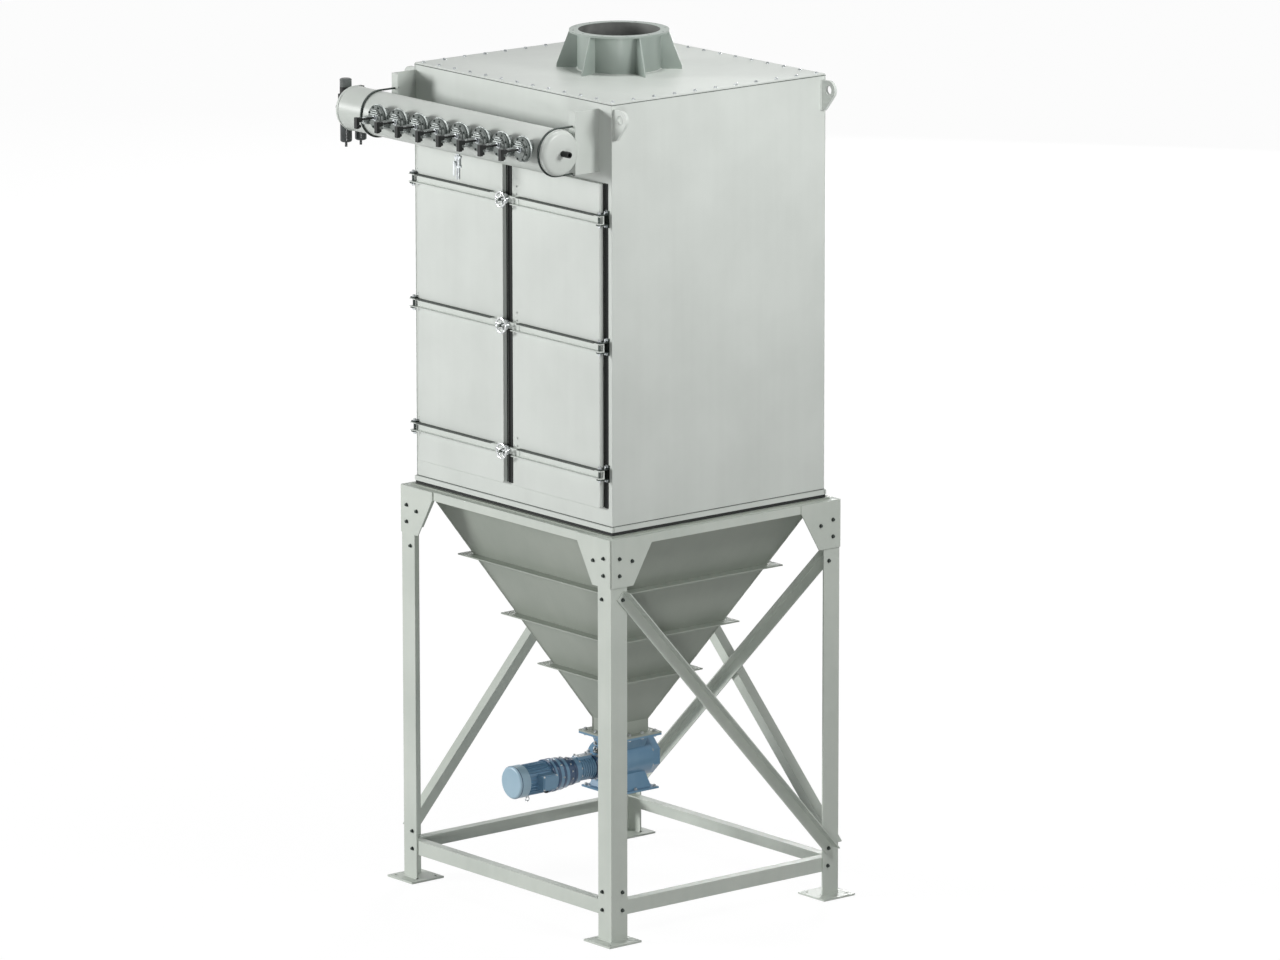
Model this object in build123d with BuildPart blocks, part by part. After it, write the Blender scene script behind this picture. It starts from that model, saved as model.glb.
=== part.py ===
from build123d import *
from math import cos, radians, sin, sqrt
import os

os.makedirs("parts", exist_ok=True)

# A pulse-jet dust collector on an angle-iron stand. The origin is at floor level, in the middle of
# the stand's plan. X runs along the door side, -Y is the door side, +Z is up. All sizes in mm.

# Casing
casing_width = 1900.0
casing_depth = 1665.0
casing_height = 2600.0
sheet = 5.0
roof_sheet = 8.0
belt_height = 30.0
belt_proud = 12.0

# Stand
frame_height = 2506.0
frame_overhang = 70.0
leg_size = 125.0
leg_sheet = 10.0
foot_size = 250.0
foot_sheet = 12.0
foot_margin = 75.0
anchor_radius = 11.0
anchor_edge = 38.0
top_beam_drop = 53.0
top_beam_shelf = 95.0
beam_sheet = 8.0
lower_beam_top = 256.0
lower_beam_height = 90.0
lower_beam_shelf = 60.0
lower_beam_lap = 55.0
gusset_sheet = 8.0
gusset_top_length = 312.0
gusset_straight = 50.0
gusset_foot_length = 168.0
gusset_height = 298.0
brace_size = 70.0
brace_sheet = 7.0
brace_low = 298.0
brace_top_drop = 348.0
brace_end_gap = 70.0

# Hopper
hopper_inset = 28.0
hopper_flange_sheet = 8.0
hopper_flange_width = 60.0
packing_height = 20.0
packing_width = 40.0
hopper_height = 1431.0
outlet_half = 120.0
rib_sheet = 8.0
rib_reach = 72.0
rib_drops = (425.0, 790.0, 1100.0)
joint_gap = 0.3
neck_length = 91.0
neck_flange_half = 182.0
neck_flange_sheet = 12.0

# Roof outlet
outlet_radius = 250.0
outlet_height = 240.0
outlet_flange_radius = 305.0
outlet_flange_sheet = 12.0
outlet_bolt_circle = 568.0
outlet_bolt_count = 12
flange_hole_radius = 7.0
collar_web_count = 6
collar_web_foot = 383.0
collar_web_sheet = 8.0
collar_web_start = 45.0
collar_web_toe = 20.0

# Lifting lugs
lug_reach = 66.0
lug_round = 57.0
lug_hole = 28.0
lug_sheet = 20.0
lug_inset = 20.0
lug_top_drop = 36.0
lug_eye_drop = 55.0
lug_height = 186.0
lug_toe = 28.0

# Doors and clamps
door_gap = 92.0
door_width = 834.0
door_sill = 141.0
door_head = 479.0
door_depth = 28.0
door_sheet = 3.0
door_corner = 14.0
door_edge_round = 3.0
door_lap = 30.0
seal_thickness = 12.0
seal_inset = 4.0
seal_width = 24.0
bar_margin = 214.0
bar_height = 52.0
bar_depth = 35.0
bar_sheet = 5.0
bar_start = 66.0
bar_end = 925.0
tongue_start = 14.0
tongue_sheet = 8.0
hinge_width = 50.0
hinge_plate_sheet = 6.0
hinge_ear_sheet = 8.0
hinge_ear_round = 16.0
hinge_pin_radius = 8.0
hinge_fit = 0.5
stud_radius = 10.0
stud_fit = 0.3
wheel_radius = 52.0
wheel_rim_radius = 6.5
wheel_hub_radius = 15.0
wheel_washer_radius = 30.0
wheel_washer_sheet = 6.0
wheel_stand_off = 45.0
wheel_spokes = 5
wheel_spoke_radius = 4.5

# Compressed-air header
tank_radius = 136.5
tank_forward = 298.0
tank_drop = 279.0
tank_left = -1205.0
tank_right = 855.0
tank_crown = 14.0
tank_knuckle = 26.0
socket_radius = 18.5
socket_bore = 12.0
socket_length = 65.0
bracket_width = 58.0
bracket_reach = 180.0
bracket_sheet = 8.0
bracket_right = 828.0
bracket_left = -950.0
bracket_top_drop = 45.0
bracket_height = 380.0
u_bolt_radius = 6.0
u_bolt_fit = 0.5
u_bolt_tail = 22.0
valve_count = 8
valve_pitch = 200.0
valve_rise = 28.0
valve_radius = 75.0
valve_neck_radius = 48.0
valve_front = 68.0
valve_base_depth = 16.0
diaphragm_radius = 72.0
diaphragm_depth = 3.0
valve_cover_depth = 12.0
valve_cover_round = 4.0
valve_boss_radius = 50.0
valve_boss_depth = 4.0
stem_radius = 7.0
stem_length = 104.0
coil_width = 30.0
coil_height = 26.0
coil_depth = 40.0
plug_start = 128.0
plug_width = 26.0
plug_depth = 22.0
plug_rise = 16.0
plug_height = 68.0
gland_radius = 9.5
gland_length = 16.0
gland_drop = 40.0
blow_pipe_radius = 24.0

# Air treatment unit on the tank's left end
unit_gap = 14.0
unit_pitch = 113.0
unit_body = 74.0
unit_foot_drop = 70.0
unit_top_rise = 75.0
unit_corner = 10.0
bowl_radius = 36.5
bowl_length = 152.0
bowl_round = 12.0
bowl_nipple_radius = 8.0
bowl_nipple_length = 30.0
collar_radius = 37.0
collar_height = 46.0
knob_radius = 36.5
knob_height = 46.0
knob_flute_count = 18
knob_flute_radius = 3.0

# Tank drain
drain_x = -150.0
drain_radius = 13.0
drain_length = 158.0
drain_body_radius = 19.0
drain_body_length = 70.0
drain_hex_radius = 20.0
drain_hex_length = 14.0
drain_stem_radius = 7.0
drain_stem_reach = 30.0
lever_length = 95.0
lever_width = 14.0
lever_sheet = 3.0

# Rotary valve and drive
valve_axis_drop = 166.0
body_radius = 134.0
bore_radius = 122.0
body_length = 300.0
valve_flange_sheet = 12.0
inlet_flare_half = 126.0
waist_half = 106.0
waist_height = 72.0
outlet_flare_half = 136.0
outlet_flange_half = 170.0
outlet_flange_drop = 186.0
outlet_bolt_spacing = 300.0
end_plate_radius = 133.0
end_plate_sheet = 8.0
front_bearing_half = 105.0
front_bearing_rise = 55.0
front_bearing_corner = 24.0
front_bearing_depth = 12.0
back_bearing_radius = 118.0
back_bearing_depth = 64.0
vane_count = 6
vane_sheet = 8.0
vane_fit = 0.5
shaft_radius = 22.0
rotor_hub_radius = 40.0
throat_half = 92.0
drive_drop = 18.0
lantern_neck_radius = 60.0
lantern_neck_end = 185.0
lantern_flange_radius = 82.0
lantern_flange_sheet = 22.0
lantern_waist_radius = 68.0
lantern_waist_end = 225.0
lantern_radius = 73.0
lantern_rib_end = 367.0
lantern_groove_count = 7
lantern_groove_width = 8.0
lantern_groove_depth = 5.0
lantern_end = 400.0
pad_start = 250.0
pad_length = 108.0
pad_width = 56.0
pad_rise = 84.0
reducer_radius = 84.0
reducer_step = 451.0
reducer_large_radius = 92.0
reducer_end = 473.0
shield_lip_radius = 96.0
shield_lip_end = 495.0
shield_radius = 101.0
shield_end = 597.0
motor_core_radius = 86.0
motor_fin_radius = 98.0
motor_fin_sheet = 3.0
motor_fin_count = 28
terminal_start = 620.0
terminal_length = 104.0
terminal_half_height = 44.0
terminal_reach = 142.0
fan_start = 785.0
motor_end = 862.0
fan_cover_radius = 102.0
fan_cover_round = 16.0

# Worked out from the sizes above
half_x = casing_width / 2
half_y = casing_depth / 2
leg_x = half_x + frame_overhang
leg_y = half_y + frame_overhang
leg_top = frame_height - beam_sheet
casing_base = frame_height + hopper_flange_sheet + packing_height
wall_top = casing_base + casing_height
roof_top = wall_top + roof_sheet
front = -half_y
brace_high = frame_height - brace_top_drop
hopper_end = frame_height - hopper_height
rib_levels = [frame_height - drop for drop in rib_drops]
neck_flange_level = hopper_end - neck_length
door_base = casing_base + door_sill
door_height = casing_height - door_sill - door_head
seal_face = front - seal_thickness
door_face = seal_face - door_depth
door_top = door_base + door_height
door_middle = door_base + door_height / 2
bar_pitch = door_height / 2 - bar_margin
bar_levels = [door_middle + k * bar_pitch for k in (-1, 0, 1)]
bar_face = door_face - bar_depth
tank_y = front - tank_forward
tank_z = roof_top - tank_drop
valve_z = tank_z + valve_rise
valve_axis_level = neck_flange_level - valve_axis_drop
outlet_flange_level = valve_axis_level - outlet_flange_drop
drive_level = valve_axis_level - drive_drop
valve_x = [(k - (valve_count - 1) / 2) * valve_pitch for k in range(valve_count)]
corners = {"front_left": (-1, -1), "front_right": (1, -1), "back_left": (-1, 1), "back_right": (1, 1)}


def save(piece, name):
    """Label a finished piece and write its STEP file."""
    piece.part.label = name
    export_step(piece.part, f"parts/{name}.step")


# Legs: equal angles with the heel outwards, each welded to a square foot plate with two anchor holes
for corner, (sx, sy) in corners.items():
    foot_x = sx * (leg_x + foot_margin - foot_size / 2)
    foot_y = sy * (leg_y + foot_margin - foot_size / 2)
    anchor = foot_size / 2 - anchor_edge
    with BuildPart() as leg:
        with BuildSketch():
            with Locations((foot_x, foot_y)):
                Rectangle(foot_size, foot_size)
            with Locations((foot_x + sx * anchor, foot_y + sy * anchor),
                           (foot_x - sx * anchor, foot_y - sy * anchor)):
                Circle(anchor_radius, mode=Mode.SUBTRACT)
        extrude(amount=foot_sheet)
        with BuildSketch(Plane.XY.offset(foot_sheet)):
            with Locations((sx * (leg_x - leg_size / 2), sy * (leg_y - leg_sheet / 2))):
                Rectangle(leg_size, leg_sheet)
            with Locations((sx * (leg_x - leg_sheet / 2), sy * (leg_y - leg_size / 2))):
                Rectangle(leg_sheet, leg_size)
        extrude(amount=leg_top - foot_sheet)
    save(leg, f"leg_{corner}")

# Top ring: four angles, mitred over the legs, with their upright flanges between the legs
with BuildPart() as top_beams:
    for turn in (0, 90, 180, 270):
        half_run, half_off = (leg_x, leg_y) if turn in (0, 180) else (leg_y, leg_x)
        side = Plane(origin=(0, 0, leg_top), x_dir=(cos(radians(turn)), sin(radians(turn)), 0),
                     z_dir=(0, 0, 1))
        with BuildSketch(side):
            with BuildLine():
                Polyline((-half_run + joint_gap, -half_off), (half_run - joint_gap, -half_off),
                         (half_run - joint_gap - top_beam_shelf, -half_off + top_beam_shelf),
                         (-half_run + joint_gap + top_beam_shelf, -half_off + top_beam_shelf), close=True)
            make_face()
        extrude(amount=beam_sheet)
        with BuildSketch(side):
            with Locations((0, -half_off + beam_sheet / 2)):
                Rectangle(2 * (half_run - leg_size), beam_sheet)
        extrude(amount=-(top_beam_drop - beam_sheet))
save(top_beams, "top_beams")

# Lower ring: four angles bolted behind the leg flanges
with BuildPart() as lower_beams:
    for turn in (0, 90, 180, 270):
        half_run, half_off = (leg_x, leg_y) if turn in (0, 180) else (leg_y, leg_x)
        side = Plane(origin=(0, 0, lower_beam_top), x_dir=(cos(radians(turn)), sin(radians(turn)), 0),
                     z_dir=(0, 0, 1))
        length = 2 * (half_run - leg_size + lower_beam_lap)
        face = -half_off + leg_sheet
        with BuildSketch(side):
            with Locations((0, face + lower_beam_shelf / 2)):
                Rectangle(length, lower_beam_shelf)
        extrude(amount=-beam_sheet)
        with BuildSketch(side):
            with Locations((0, face + beam_sheet / 2)):
                Rectangle(length, beam_sheet)
        extrude(amount=-lower_beam_height)
save(lower_beams, "lower_beams")

# Gusset plates: one on each outer face of each leg, joining it to the top ring
with BuildPart() as gusset_plates:
    for sx, sy in corners.values():
        for face in ("front", "side"):
            if face == "front":
                along, off = sx, sy * leg_y
                plane = Plane(origin=(sx * leg_x, off, frame_height), x_dir=(-sx, 0, 0), z_dir=(0, sy, 0))
            else:
                off = sx * leg_x
                plane = Plane(origin=(off, sy * leg_y, frame_height), x_dir=(0, -sy, 0), z_dir=(sx, 0, 0))
            down = -1 if plane.y_dir.Z > 0 else 1
            with BuildSketch(plane):
                with BuildLine():
                    Polyline((joint_gap, 0), (gusset_top_length, 0),
                             (gusset_top_length, down * gusset_straight),
                             (gusset_foot_length, down * gusset_height), (joint_gap, down * gusset_height),
                             close=True)
                make_face()
            extrude(amount=gusset_sheet)
save(gusset_plates, "gusset_plates")


def brace(start, end, outward):
    """An angle brace: one flange flat on the legs, the other standing out along its upper edge."""
    run = Vector(*end) - Vector(*start)
    plane = Plane(origin=start, x_dir=outward, z_dir=run.normalized())
    up = 1 if plane.y_dir.Z > 0 else -1
    edge = up * brace_size / 2
    with BuildPart() as bar:
        with BuildSketch(plane):
            with BuildLine():
                Polyline((0, -edge), (brace_sheet, -edge), (brace_sheet, edge - up * brace_sheet),
                         (brace_size, edge - up * brace_sheet), (brace_size, edge), (0, edge), close=True)
            make_face()
        extrude(amount=run.length)
    return bar


brace_y = leg_y - brace_end_gap
brace_x = leg_x - brace_end_gap
inner_y = leg_y - leg_sheet
save(brace((leg_x, brace_y, brace_low), (leg_x, -brace_y, brace_high), (1, 0, 0)), "brace_right")
save(brace((-leg_x, -brace_y, brace_low), (-leg_x, brace_y, brace_high), (-1, 0, 0)), "brace_left")
save(brace((-brace_x, inner_y, brace_low), (brace_x, inner_y, brace_high), (0, -1, 0)), "brace_back_rising")
save(brace((brace_x, leg_y, brace_low), (-brace_x, leg_y, brace_high), (0, 1, 0)), "brace_back_falling")

# Hopper: four mitred plates, each with a flange on the stand, a packing strip and three ribs
hopper_mouth = frame_height
slope_x = (half_x - hopper_inset - outlet_half) / (hopper_mouth - hopper_end)
slope_y = (half_y - hopper_inset - outlet_half) / (hopper_mouth - hopper_end)


def ring_half(level, axis):
    """Outer half width of the hopper at a level, along X or Y."""
    slope = slope_x if axis == "x" else slope_y
    return outlet_half + slope * (level - hopper_end)


def hopper_side(turn):
    """The hopper wall whose outside faces -Y after a turn about Z."""
    run, off = ("x", "y") if turn in (0, 180) else ("y", "x")
    side = Plane(origin=(0, 0, 0), x_dir=(cos(radians(turn)), sin(radians(turn)), 0), z_dir=(0, 0, 1))

    def strip(level, near, far, amount):
        run_near = half_run(level, near)
        run_far = half_run(level, far)
        with BuildSketch(side.offset(level)) as outline:
            with BuildLine():
                Polyline((-run_far, -far), (run_far, -far), (run_near, -near), (-run_near, -near), close=True)
            make_face()
        extrude(outline.sketch, amount=amount)

    def half_run(level, distance):
        return distance + ring_half(level, run) - ring_half(level, off) - joint_gap

    with BuildPart() as wall:
        for level in (hopper_end, hopper_mouth):
            outer = ring_half(level, off)
            with BuildSketch(side.offset(level)):
                with BuildLine():
                    Polyline((-half_run(level, outer), -outer), (half_run(level, outer), -outer),
                             (half_run(level, outer - sheet), -outer + sheet),
                             (-half_run(level, outer - sheet), -outer + sheet), close=True)
                make_face()
        loft()
        mouth = ring_half(hopper_mouth, off)
        strip(hopper_mouth, mouth - sheet, mouth - sheet + hopper_flange_width, hopper_flange_sheet)
        packing_level = hopper_mouth + hopper_flange_sheet
        strip(packing_level, mouth - sheet, mouth - sheet + packing_width, packing_height)
        for level in rib_levels:
            outer = ring_half(level, off)
            strip(level, outer - sheet / 2, outer + rib_reach, -rib_sheet)
    return wall


for name, turn in (("hopper_front", 0), ("hopper_right", 90), ("hopper_back", 180), ("hopper_left", 270)):
    save(hopper_side(turn), name)

# Hopper neck: a short square duct with its bolting flange
with BuildPart() as hopper_neck:
    with BuildSketch(Plane.XY.offset(neck_flange_level)):
        Rectangle(2 * neck_flange_half, 2 * neck_flange_half)
        Rectangle(2 * (outlet_half - sheet), 2 * (outlet_half - sheet), mode=Mode.SUBTRACT)
    extrude(amount=neck_flange_sheet)
    with BuildSketch(Plane.XY.offset(neck_flange_level + neck_flange_sheet)):
        Rectangle(2 * outlet_half, 2 * outlet_half)
        Rectangle(2 * (outlet_half - sheet), 2 * (outlet_half - sheet), mode=Mode.SUBTRACT)
    extrude(amount=neck_length - neck_flange_sheet)
save(hopper_neck, "hopper_neck")

# Side and back walls, each with its part of the belt along its foot
for name, sx in (("wall_left", -1), ("wall_right", 1)):
    with BuildPart() as wall:
        with BuildSketch(Plane.XY.offset(casing_base)):
            with Locations((sx * (half_x - sheet / 2), 0)):
                Rectangle(sheet, casing_depth - 2 * sheet)
        extrude(amount=casing_height)
        with BuildSketch(Plane.XY.offset(casing_base)):
            with Locations((sx * (half_x + belt_proud / 2), 0)):
                Rectangle(belt_proud, casing_depth - 2 * sheet)
        extrude(amount=belt_height)
    save(wall, name)


def wall_panel(low, high, left, right, y_out):
    """A sheet of the front or back wall between two levels."""
    with BuildSketch(Plane.XY.offset(low)) as outline:
        with Locations(((left + right) / 2, y_out)):
            Rectangle(right - left, sheet)
    extrude(outline.sketch, amount=high - low)


def belt(y_out):
    """The belt along the foot of the front or back wall."""
    with BuildSketch(Plane.XY.offset(casing_base)) as outline:
        with Locations((0, y_out)):
            Rectangle(casing_width + 2 * belt_proud, belt_proud)
    extrude(outline.sketch, amount=belt_height)


with BuildPart() as wall_back:
    wall_panel(casing_base, wall_top, -half_x, half_x, half_y - sheet / 2)
    belt(half_y + belt_proud / 2)
save(wall_back, "wall_back")

# Front wall: a head, a sill and three posts around the two door openings
opening_low = door_base + door_lap
opening_high = door_top - door_lap
opening_inner = door_gap / 2 + door_lap
opening_outer = door_gap / 2 + door_width - door_lap
with BuildPart() as wall_front_top:
    wall_panel(opening_high, wall_top, -half_x, half_x, front + sheet / 2)
save(wall_front_top, "wall_front_top")
with BuildPart() as wall_front_bottom:
    wall_panel(casing_base, opening_low, -half_x, half_x, front + sheet / 2)
    belt(front - belt_proud / 2)
save(wall_front_bottom, "wall_front_bottom")
with BuildPart() as door_posts:
    for left, right in ((-half_x, -opening_outer), (-opening_inner, opening_inner), (opening_outer, half_x)):
        wall_panel(opening_low, opening_high, left, right, front + sheet / 2)
save(door_posts, "door_posts")

# Roof plate with the round outlet hole, and the tube sheet that carries the bags
with BuildPart() as roof:
    with BuildSketch(Plane.XY.offset(wall_top)):
        Rectangle(casing_width, casing_depth)
        Circle(outlet_radius, mode=Mode.SUBTRACT)
    extrude(amount=roof_sheet)
save(roof, "roof")
with BuildPart() as tube_sheet:
    with BuildSketch(Plane.XY.offset(opening_high)):
        Rectangle(casing_width - 2 * sheet, casing_depth - 2 * sheet)
    extrude(amount=sheet)
save(tube_sheet, "tube_sheet")

# Outlet collar: a rolled ring with a bolting flange and six webs down to the roof
outlet_top = roof_top + outlet_height
with BuildPart() as outlet_collar:
    with BuildSketch(Plane.XY.offset(roof_top)):
        Circle(outlet_radius + sheet)
        Circle(outlet_radius, mode=Mode.SUBTRACT)
    extrude(amount=outlet_height)
    with BuildSketch(Plane.XY.offset(outlet_top)):
        Circle(outlet_flange_radius)
        Circle(outlet_radius, mode=Mode.SUBTRACT)
        with PolarLocations(outlet_bolt_circle / 2, outlet_bolt_count):
            Circle(flange_hole_radius, mode=Mode.SUBTRACT)
    extrude(amount=-outlet_flange_sheet)
    for k in range(collar_web_count):
        turn = radians(collar_web_start + k * 360 / collar_web_count)
        out = (cos(turn), sin(turn), 0)
        web = Plane(origin=(0, 0, roof_top), x_dir=out, z_dir=(out[1], -out[0], 0))
        with BuildSketch(web):
            with BuildLine():
                Polyline((outlet_radius + sheet / 2, 0), (collar_web_foot, 0),
                         (collar_web_foot, collar_web_toe),
                         (outlet_flange_radius, outlet_height - outlet_flange_sheet),
                         (outlet_radius + sheet / 2, outlet_height - outlet_flange_sheet), close=True)
            make_face()
        extrude(amount=collar_web_sheet / 2, both=True)
save(outlet_collar, "outlet_collar")

# Lifting lugs: rounded plates welded to the side walls near the four top corners
with BuildPart() as lifting_lugs:
    for sx, sy in corners.values():
        lug_plane = Plane(origin=(sx * half_x, sy * (half_y - lug_inset), roof_top - lug_top_drop),
                          x_dir=(sx, 0, 0), z_dir=(0, -sx, 0))
        with BuildSketch(lug_plane):
            with BuildLine():
                Polyline((0, 0), (0, -lug_height), (lug_toe, -lug_height), close=True)
            make_face()
            with Locations((lug_reach, -lug_eye_drop)):
                Circle(lug_round)
            make_hull()
            with Locations((lug_reach, -lug_eye_drop)):
                Circle(lug_hole, mode=Mode.SUBTRACT)
        extrude(amount=lug_sheet / 2, both=True)
save(lifting_lugs, "lifting_lugs")

# Doors: two lift-off sheet pans over the openings, with rounded corners and an open back
for name, sx in (("door_left", -1), ("door_right", 1)):
    door_plane = Plane(origin=(sx * (door_gap / 2 + door_width / 2), seal_face, door_middle), x_dir=(1, 0, 0),
                       z_dir=(0, -1, 0))
    with BuildPart() as door:
        with BuildSketch(door_plane):
            RectangleRounded(door_width, door_height, door_corner)
        extrude(amount=door_depth)
        fillet(door.faces().sort_by(Axis.Y)[0].edges(), door_edge_round)
        with BuildSketch(door_plane):
            Rectangle(door_width - 2 * seal_width, door_height - 2 * seal_width)
        extrude(amount=door_depth - door_sheet, mode=Mode.SUBTRACT)
    save(door, name)

# Door seals: a rubber frame behind the edge of each door
with BuildPart() as door_seals:
    for sx in (-1, 1):
        seal_x = sx * (door_gap / 2 + door_width / 2)
        with BuildSketch(Plane(origin=(seal_x, front, door_middle), x_dir=(1, 0, 0), z_dir=(0, -1, 0))):
            Rectangle(door_width - 2 * seal_inset, door_height - 2 * seal_inset)
            Rectangle(door_width - 2 * seal_width, door_height - 2 * seal_width, mode=Mode.SUBTRACT)
        extrude(amount=seal_thickness)
save(door_seals, "door_seals")

# Clamp bars: channels across each door with their flanges outwards, hinged at the outer end, with a
# tongue under the handwheel
for name, sx in (("clamp_bars_left", -1), ("clamp_bars_right", 1)):
    with BuildPart() as bars:
        for level in bar_levels:
            with BuildSketch(Plane.XY.offset(level - bar_height / 2)):
                with Locations((sx * (bar_start + bar_end) / 2, door_face - bar_depth / 2)):
                    Rectangle(bar_end - bar_start, bar_depth)
            extrude(amount=bar_height)
            with BuildSketch(Plane.XY.offset(level - bar_height / 2 + bar_sheet)):
                with Locations((sx * (bar_start + bar_end) / 2, door_face - (bar_depth + bar_sheet) / 2)):
                    Rectangle(bar_end - bar_start, bar_depth - bar_sheet)
            extrude(amount=bar_height - 2 * bar_sheet, mode=Mode.SUBTRACT)
            tongue_end = bar_start + bar_height
            with BuildSketch(Plane.XY.offset(level - bar_height / 2 + bar_sheet)):
                with Locations((sx * (tongue_start + tongue_end) / 2, door_face - tongue_sheet / 2)):
                    Rectangle(tongue_end - tongue_start, tongue_sheet)
            extrude(amount=bar_height - 2 * bar_sheet)
            with Locations((sx * (bar_end - hinge_width / 2), door_face - bar_depth / 2, level)):
                Cylinder(hinge_pin_radius + hinge_fit, bar_height * 2, mode=Mode.SUBTRACT)
    save(bars, name)

# Hinge brackets: a clevis on the front wall for each bar, with its upright pin
with BuildPart() as hinge_brackets:
    for sx in (-1, 1):
        for level in bar_levels:
            bracket_x = sx * (bar_end - hinge_width / 2)
            plate_edge = door_gap / 2 + door_width + joint_gap
            with BuildSketch(Plane.XY.offset(level - bar_height)):
                with Locations((sx * (plate_edge + bar_end) / 2, front - hinge_plate_sheet / 2)):
                    Rectangle(bar_end - plate_edge, hinge_plate_sheet)
            extrude(amount=2 * bar_height)
            for ear in (-1, 1):
                ear_middle = level + ear * (bar_height / 2 + hinge_fit + hinge_ear_sheet / 2)
                ear_low = ear_middle - hinge_ear_sheet / 2
                with BuildSketch(Plane.XY.offset(ear_low)):
                    with Locations((sx * (plate_edge + bar_end) / 2, (front + bar_face) / 2)):
                        ear_plate = Rectangle(bar_end - plate_edge, front - bar_face)
                    fillet(ear_plate.vertices().group_by(Axis.Y)[0], hinge_ear_round)
                extrude(amount=hinge_ear_sheet)
            with Locations((bracket_x, door_face - bar_depth / 2, level)):
                Cylinder(hinge_pin_radius, bar_height + 2 * hinge_fit + 4 * hinge_ear_sheet)
save(hinge_brackets, "hinge_brackets")

# Studs on the middle post, and the handwheels that turn on them
wheel_back = door_face - tongue_sheet - joint_gap
wheel_plane = wheel_back - wheel_stand_off
stud_end = wheel_plane - 2 * wheel_rim_radius
with BuildPart() as wheel_studs:
    for level in bar_levels:
        with BuildSketch(Plane(origin=(0, front, level), x_dir=(1, 0, 0), z_dir=(0, -1, 0))):
            Circle(stud_radius)
        extrude(amount=front - stud_end)
save(wheel_studs, "wheel_studs")
for name, level in zip(("handwheel_bottom", "handwheel_middle", "handwheel_top"), bar_levels):
    rim_radius = wheel_radius - wheel_rim_radius
    with BuildPart() as wheel:
        with BuildSketch(Plane(origin=(0, wheel_back, level), x_dir=(1, 0, 0), z_dir=(0, -1, 0))):
            Circle(wheel_washer_radius)
        extrude(amount=wheel_washer_sheet)
        with BuildSketch(Plane(origin=(0, wheel_back, level), x_dir=(1, 0, 0), z_dir=(0, -1, 0))):
            Circle(wheel_hub_radius)
        extrude(amount=wheel_stand_off + wheel_rim_radius)
        for k in range(wheel_spokes):
            turn = radians(90 + k * 360 / wheel_spokes)
            out = (cos(turn), 0, sin(turn))
            with BuildSketch(Plane(origin=(0, wheel_plane, level), x_dir=(0, 1, 0), z_dir=out)):
                Circle(wheel_spoke_radius)
            extrude(amount=rim_radius)
        with BuildSketch(Plane(origin=(0, wheel_plane, level), x_dir=(1, 0, 0), z_dir=(0, 0, 1))):
            with Locations((rim_radius, 0)):
                Circle(wheel_rim_radius)
        revolve(axis=Axis((0, wheel_plane, level), (0, 1, 0)))
        with BuildSketch(Plane(origin=(0, wheel_back, level), x_dir=(1, 0, 0), z_dir=(0, -1, 0))):
            Circle(stud_radius + stud_fit)
        extrude(amount=wheel_stand_off + 4 * wheel_rim_radius, mode=Mode.SUBTRACT)
    save(wheel, name)

# Header tank: a closed tube with slightly crowned ends
crown_radius = (tank_radius ** 2 + tank_crown ** 2) / (2 * tank_crown)
crown_rise = sqrt(crown_radius ** 2 - (tank_radius / 2) ** 2) - crown_radius
with BuildPart() as header_tank:
    with BuildSketch(Plane(origin=(0, tank_y, tank_z), x_dir=(1, 0, 0), z_dir=(0, -1, 0))):
        with BuildLine():
            Line((tank_left, 0), (tank_right, 0))
            ThreePointArc((tank_right, 0), (tank_right + crown_rise, tank_radius / 2),
                          (tank_right - tank_crown, tank_radius))
            Line((tank_right - tank_crown, tank_radius), (tank_left + tank_crown, tank_radius))
            ThreePointArc((tank_left + tank_crown, tank_radius), (tank_left - crown_rise, tank_radius / 2),
                          (tank_left, 0))
        make_face()
    revolve(axis=Axis((0, tank_y, tank_z), (1, 0, 0)))
    fillet(header_tank.edges().filter_by(GeomType.CIRCLE).filter_by(lambda rim: rim.radius > tank_radius - 1)
           .filter_by(lambda rim: rim.is_closed), tank_knuckle)
save(header_tank, "header_tank")

# Air socket: a short nipple in the middle of the tank's right end
with BuildPart() as air_socket:
    with BuildSketch(Plane(origin=(tank_right, tank_y, tank_z), x_dir=(0, 1, 0), z_dir=(1, 0, 0))):
        Circle(socket_radius)
        Circle(socket_bore, mode=Mode.SUBTRACT)
    extrude(amount=socket_length)
save(air_socket, "air_socket")

# Tank brackets: two angles standing on the front wall, cut out round the tank
bracket_low = roof_top - bracket_top_drop - bracket_height
bolt_bend = tank_radius + joint_gap + u_bolt_radius
bracket_sides = ((bracket_left, 1), (bracket_right, -1))
with BuildPart() as tank_brackets:
    for edge, inward in bracket_sides:
        bolt_x = edge + inward * bracket_width / 2
        with BuildSketch(Plane.XY.offset(bracket_low)):
            with Locations((edge + inward * bracket_sheet / 2, front - bracket_reach / 2)):
                Rectangle(bracket_sheet, bracket_reach)
            with Locations((bolt_x, front - bracket_reach + bracket_sheet / 2)):
                Rectangle(bracket_width, bracket_sheet)
        extrude(amount=bracket_height)
        bracket_face = Plane(origin=(bolt_x, front - bracket_reach, tank_z), x_dir=(1, 0, 0), z_dir=(0, 1, 0))
        with BuildSketch(bracket_face):
            with Locations((0, bolt_bend), (0, -bolt_bend)):
                Circle(u_bolt_radius + u_bolt_fit)
        extrude(amount=bracket_sheet, mode=Mode.SUBTRACT)
    with BuildSketch(Plane(origin=(tank_left, tank_y, tank_z), x_dir=(0, 1, 0), z_dir=(1, 0, 0))):
        Circle(tank_radius + joint_gap)
    extrude(amount=tank_right - tank_left, mode=Mode.SUBTRACT)
save(tank_brackets, "tank_brackets")

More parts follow.
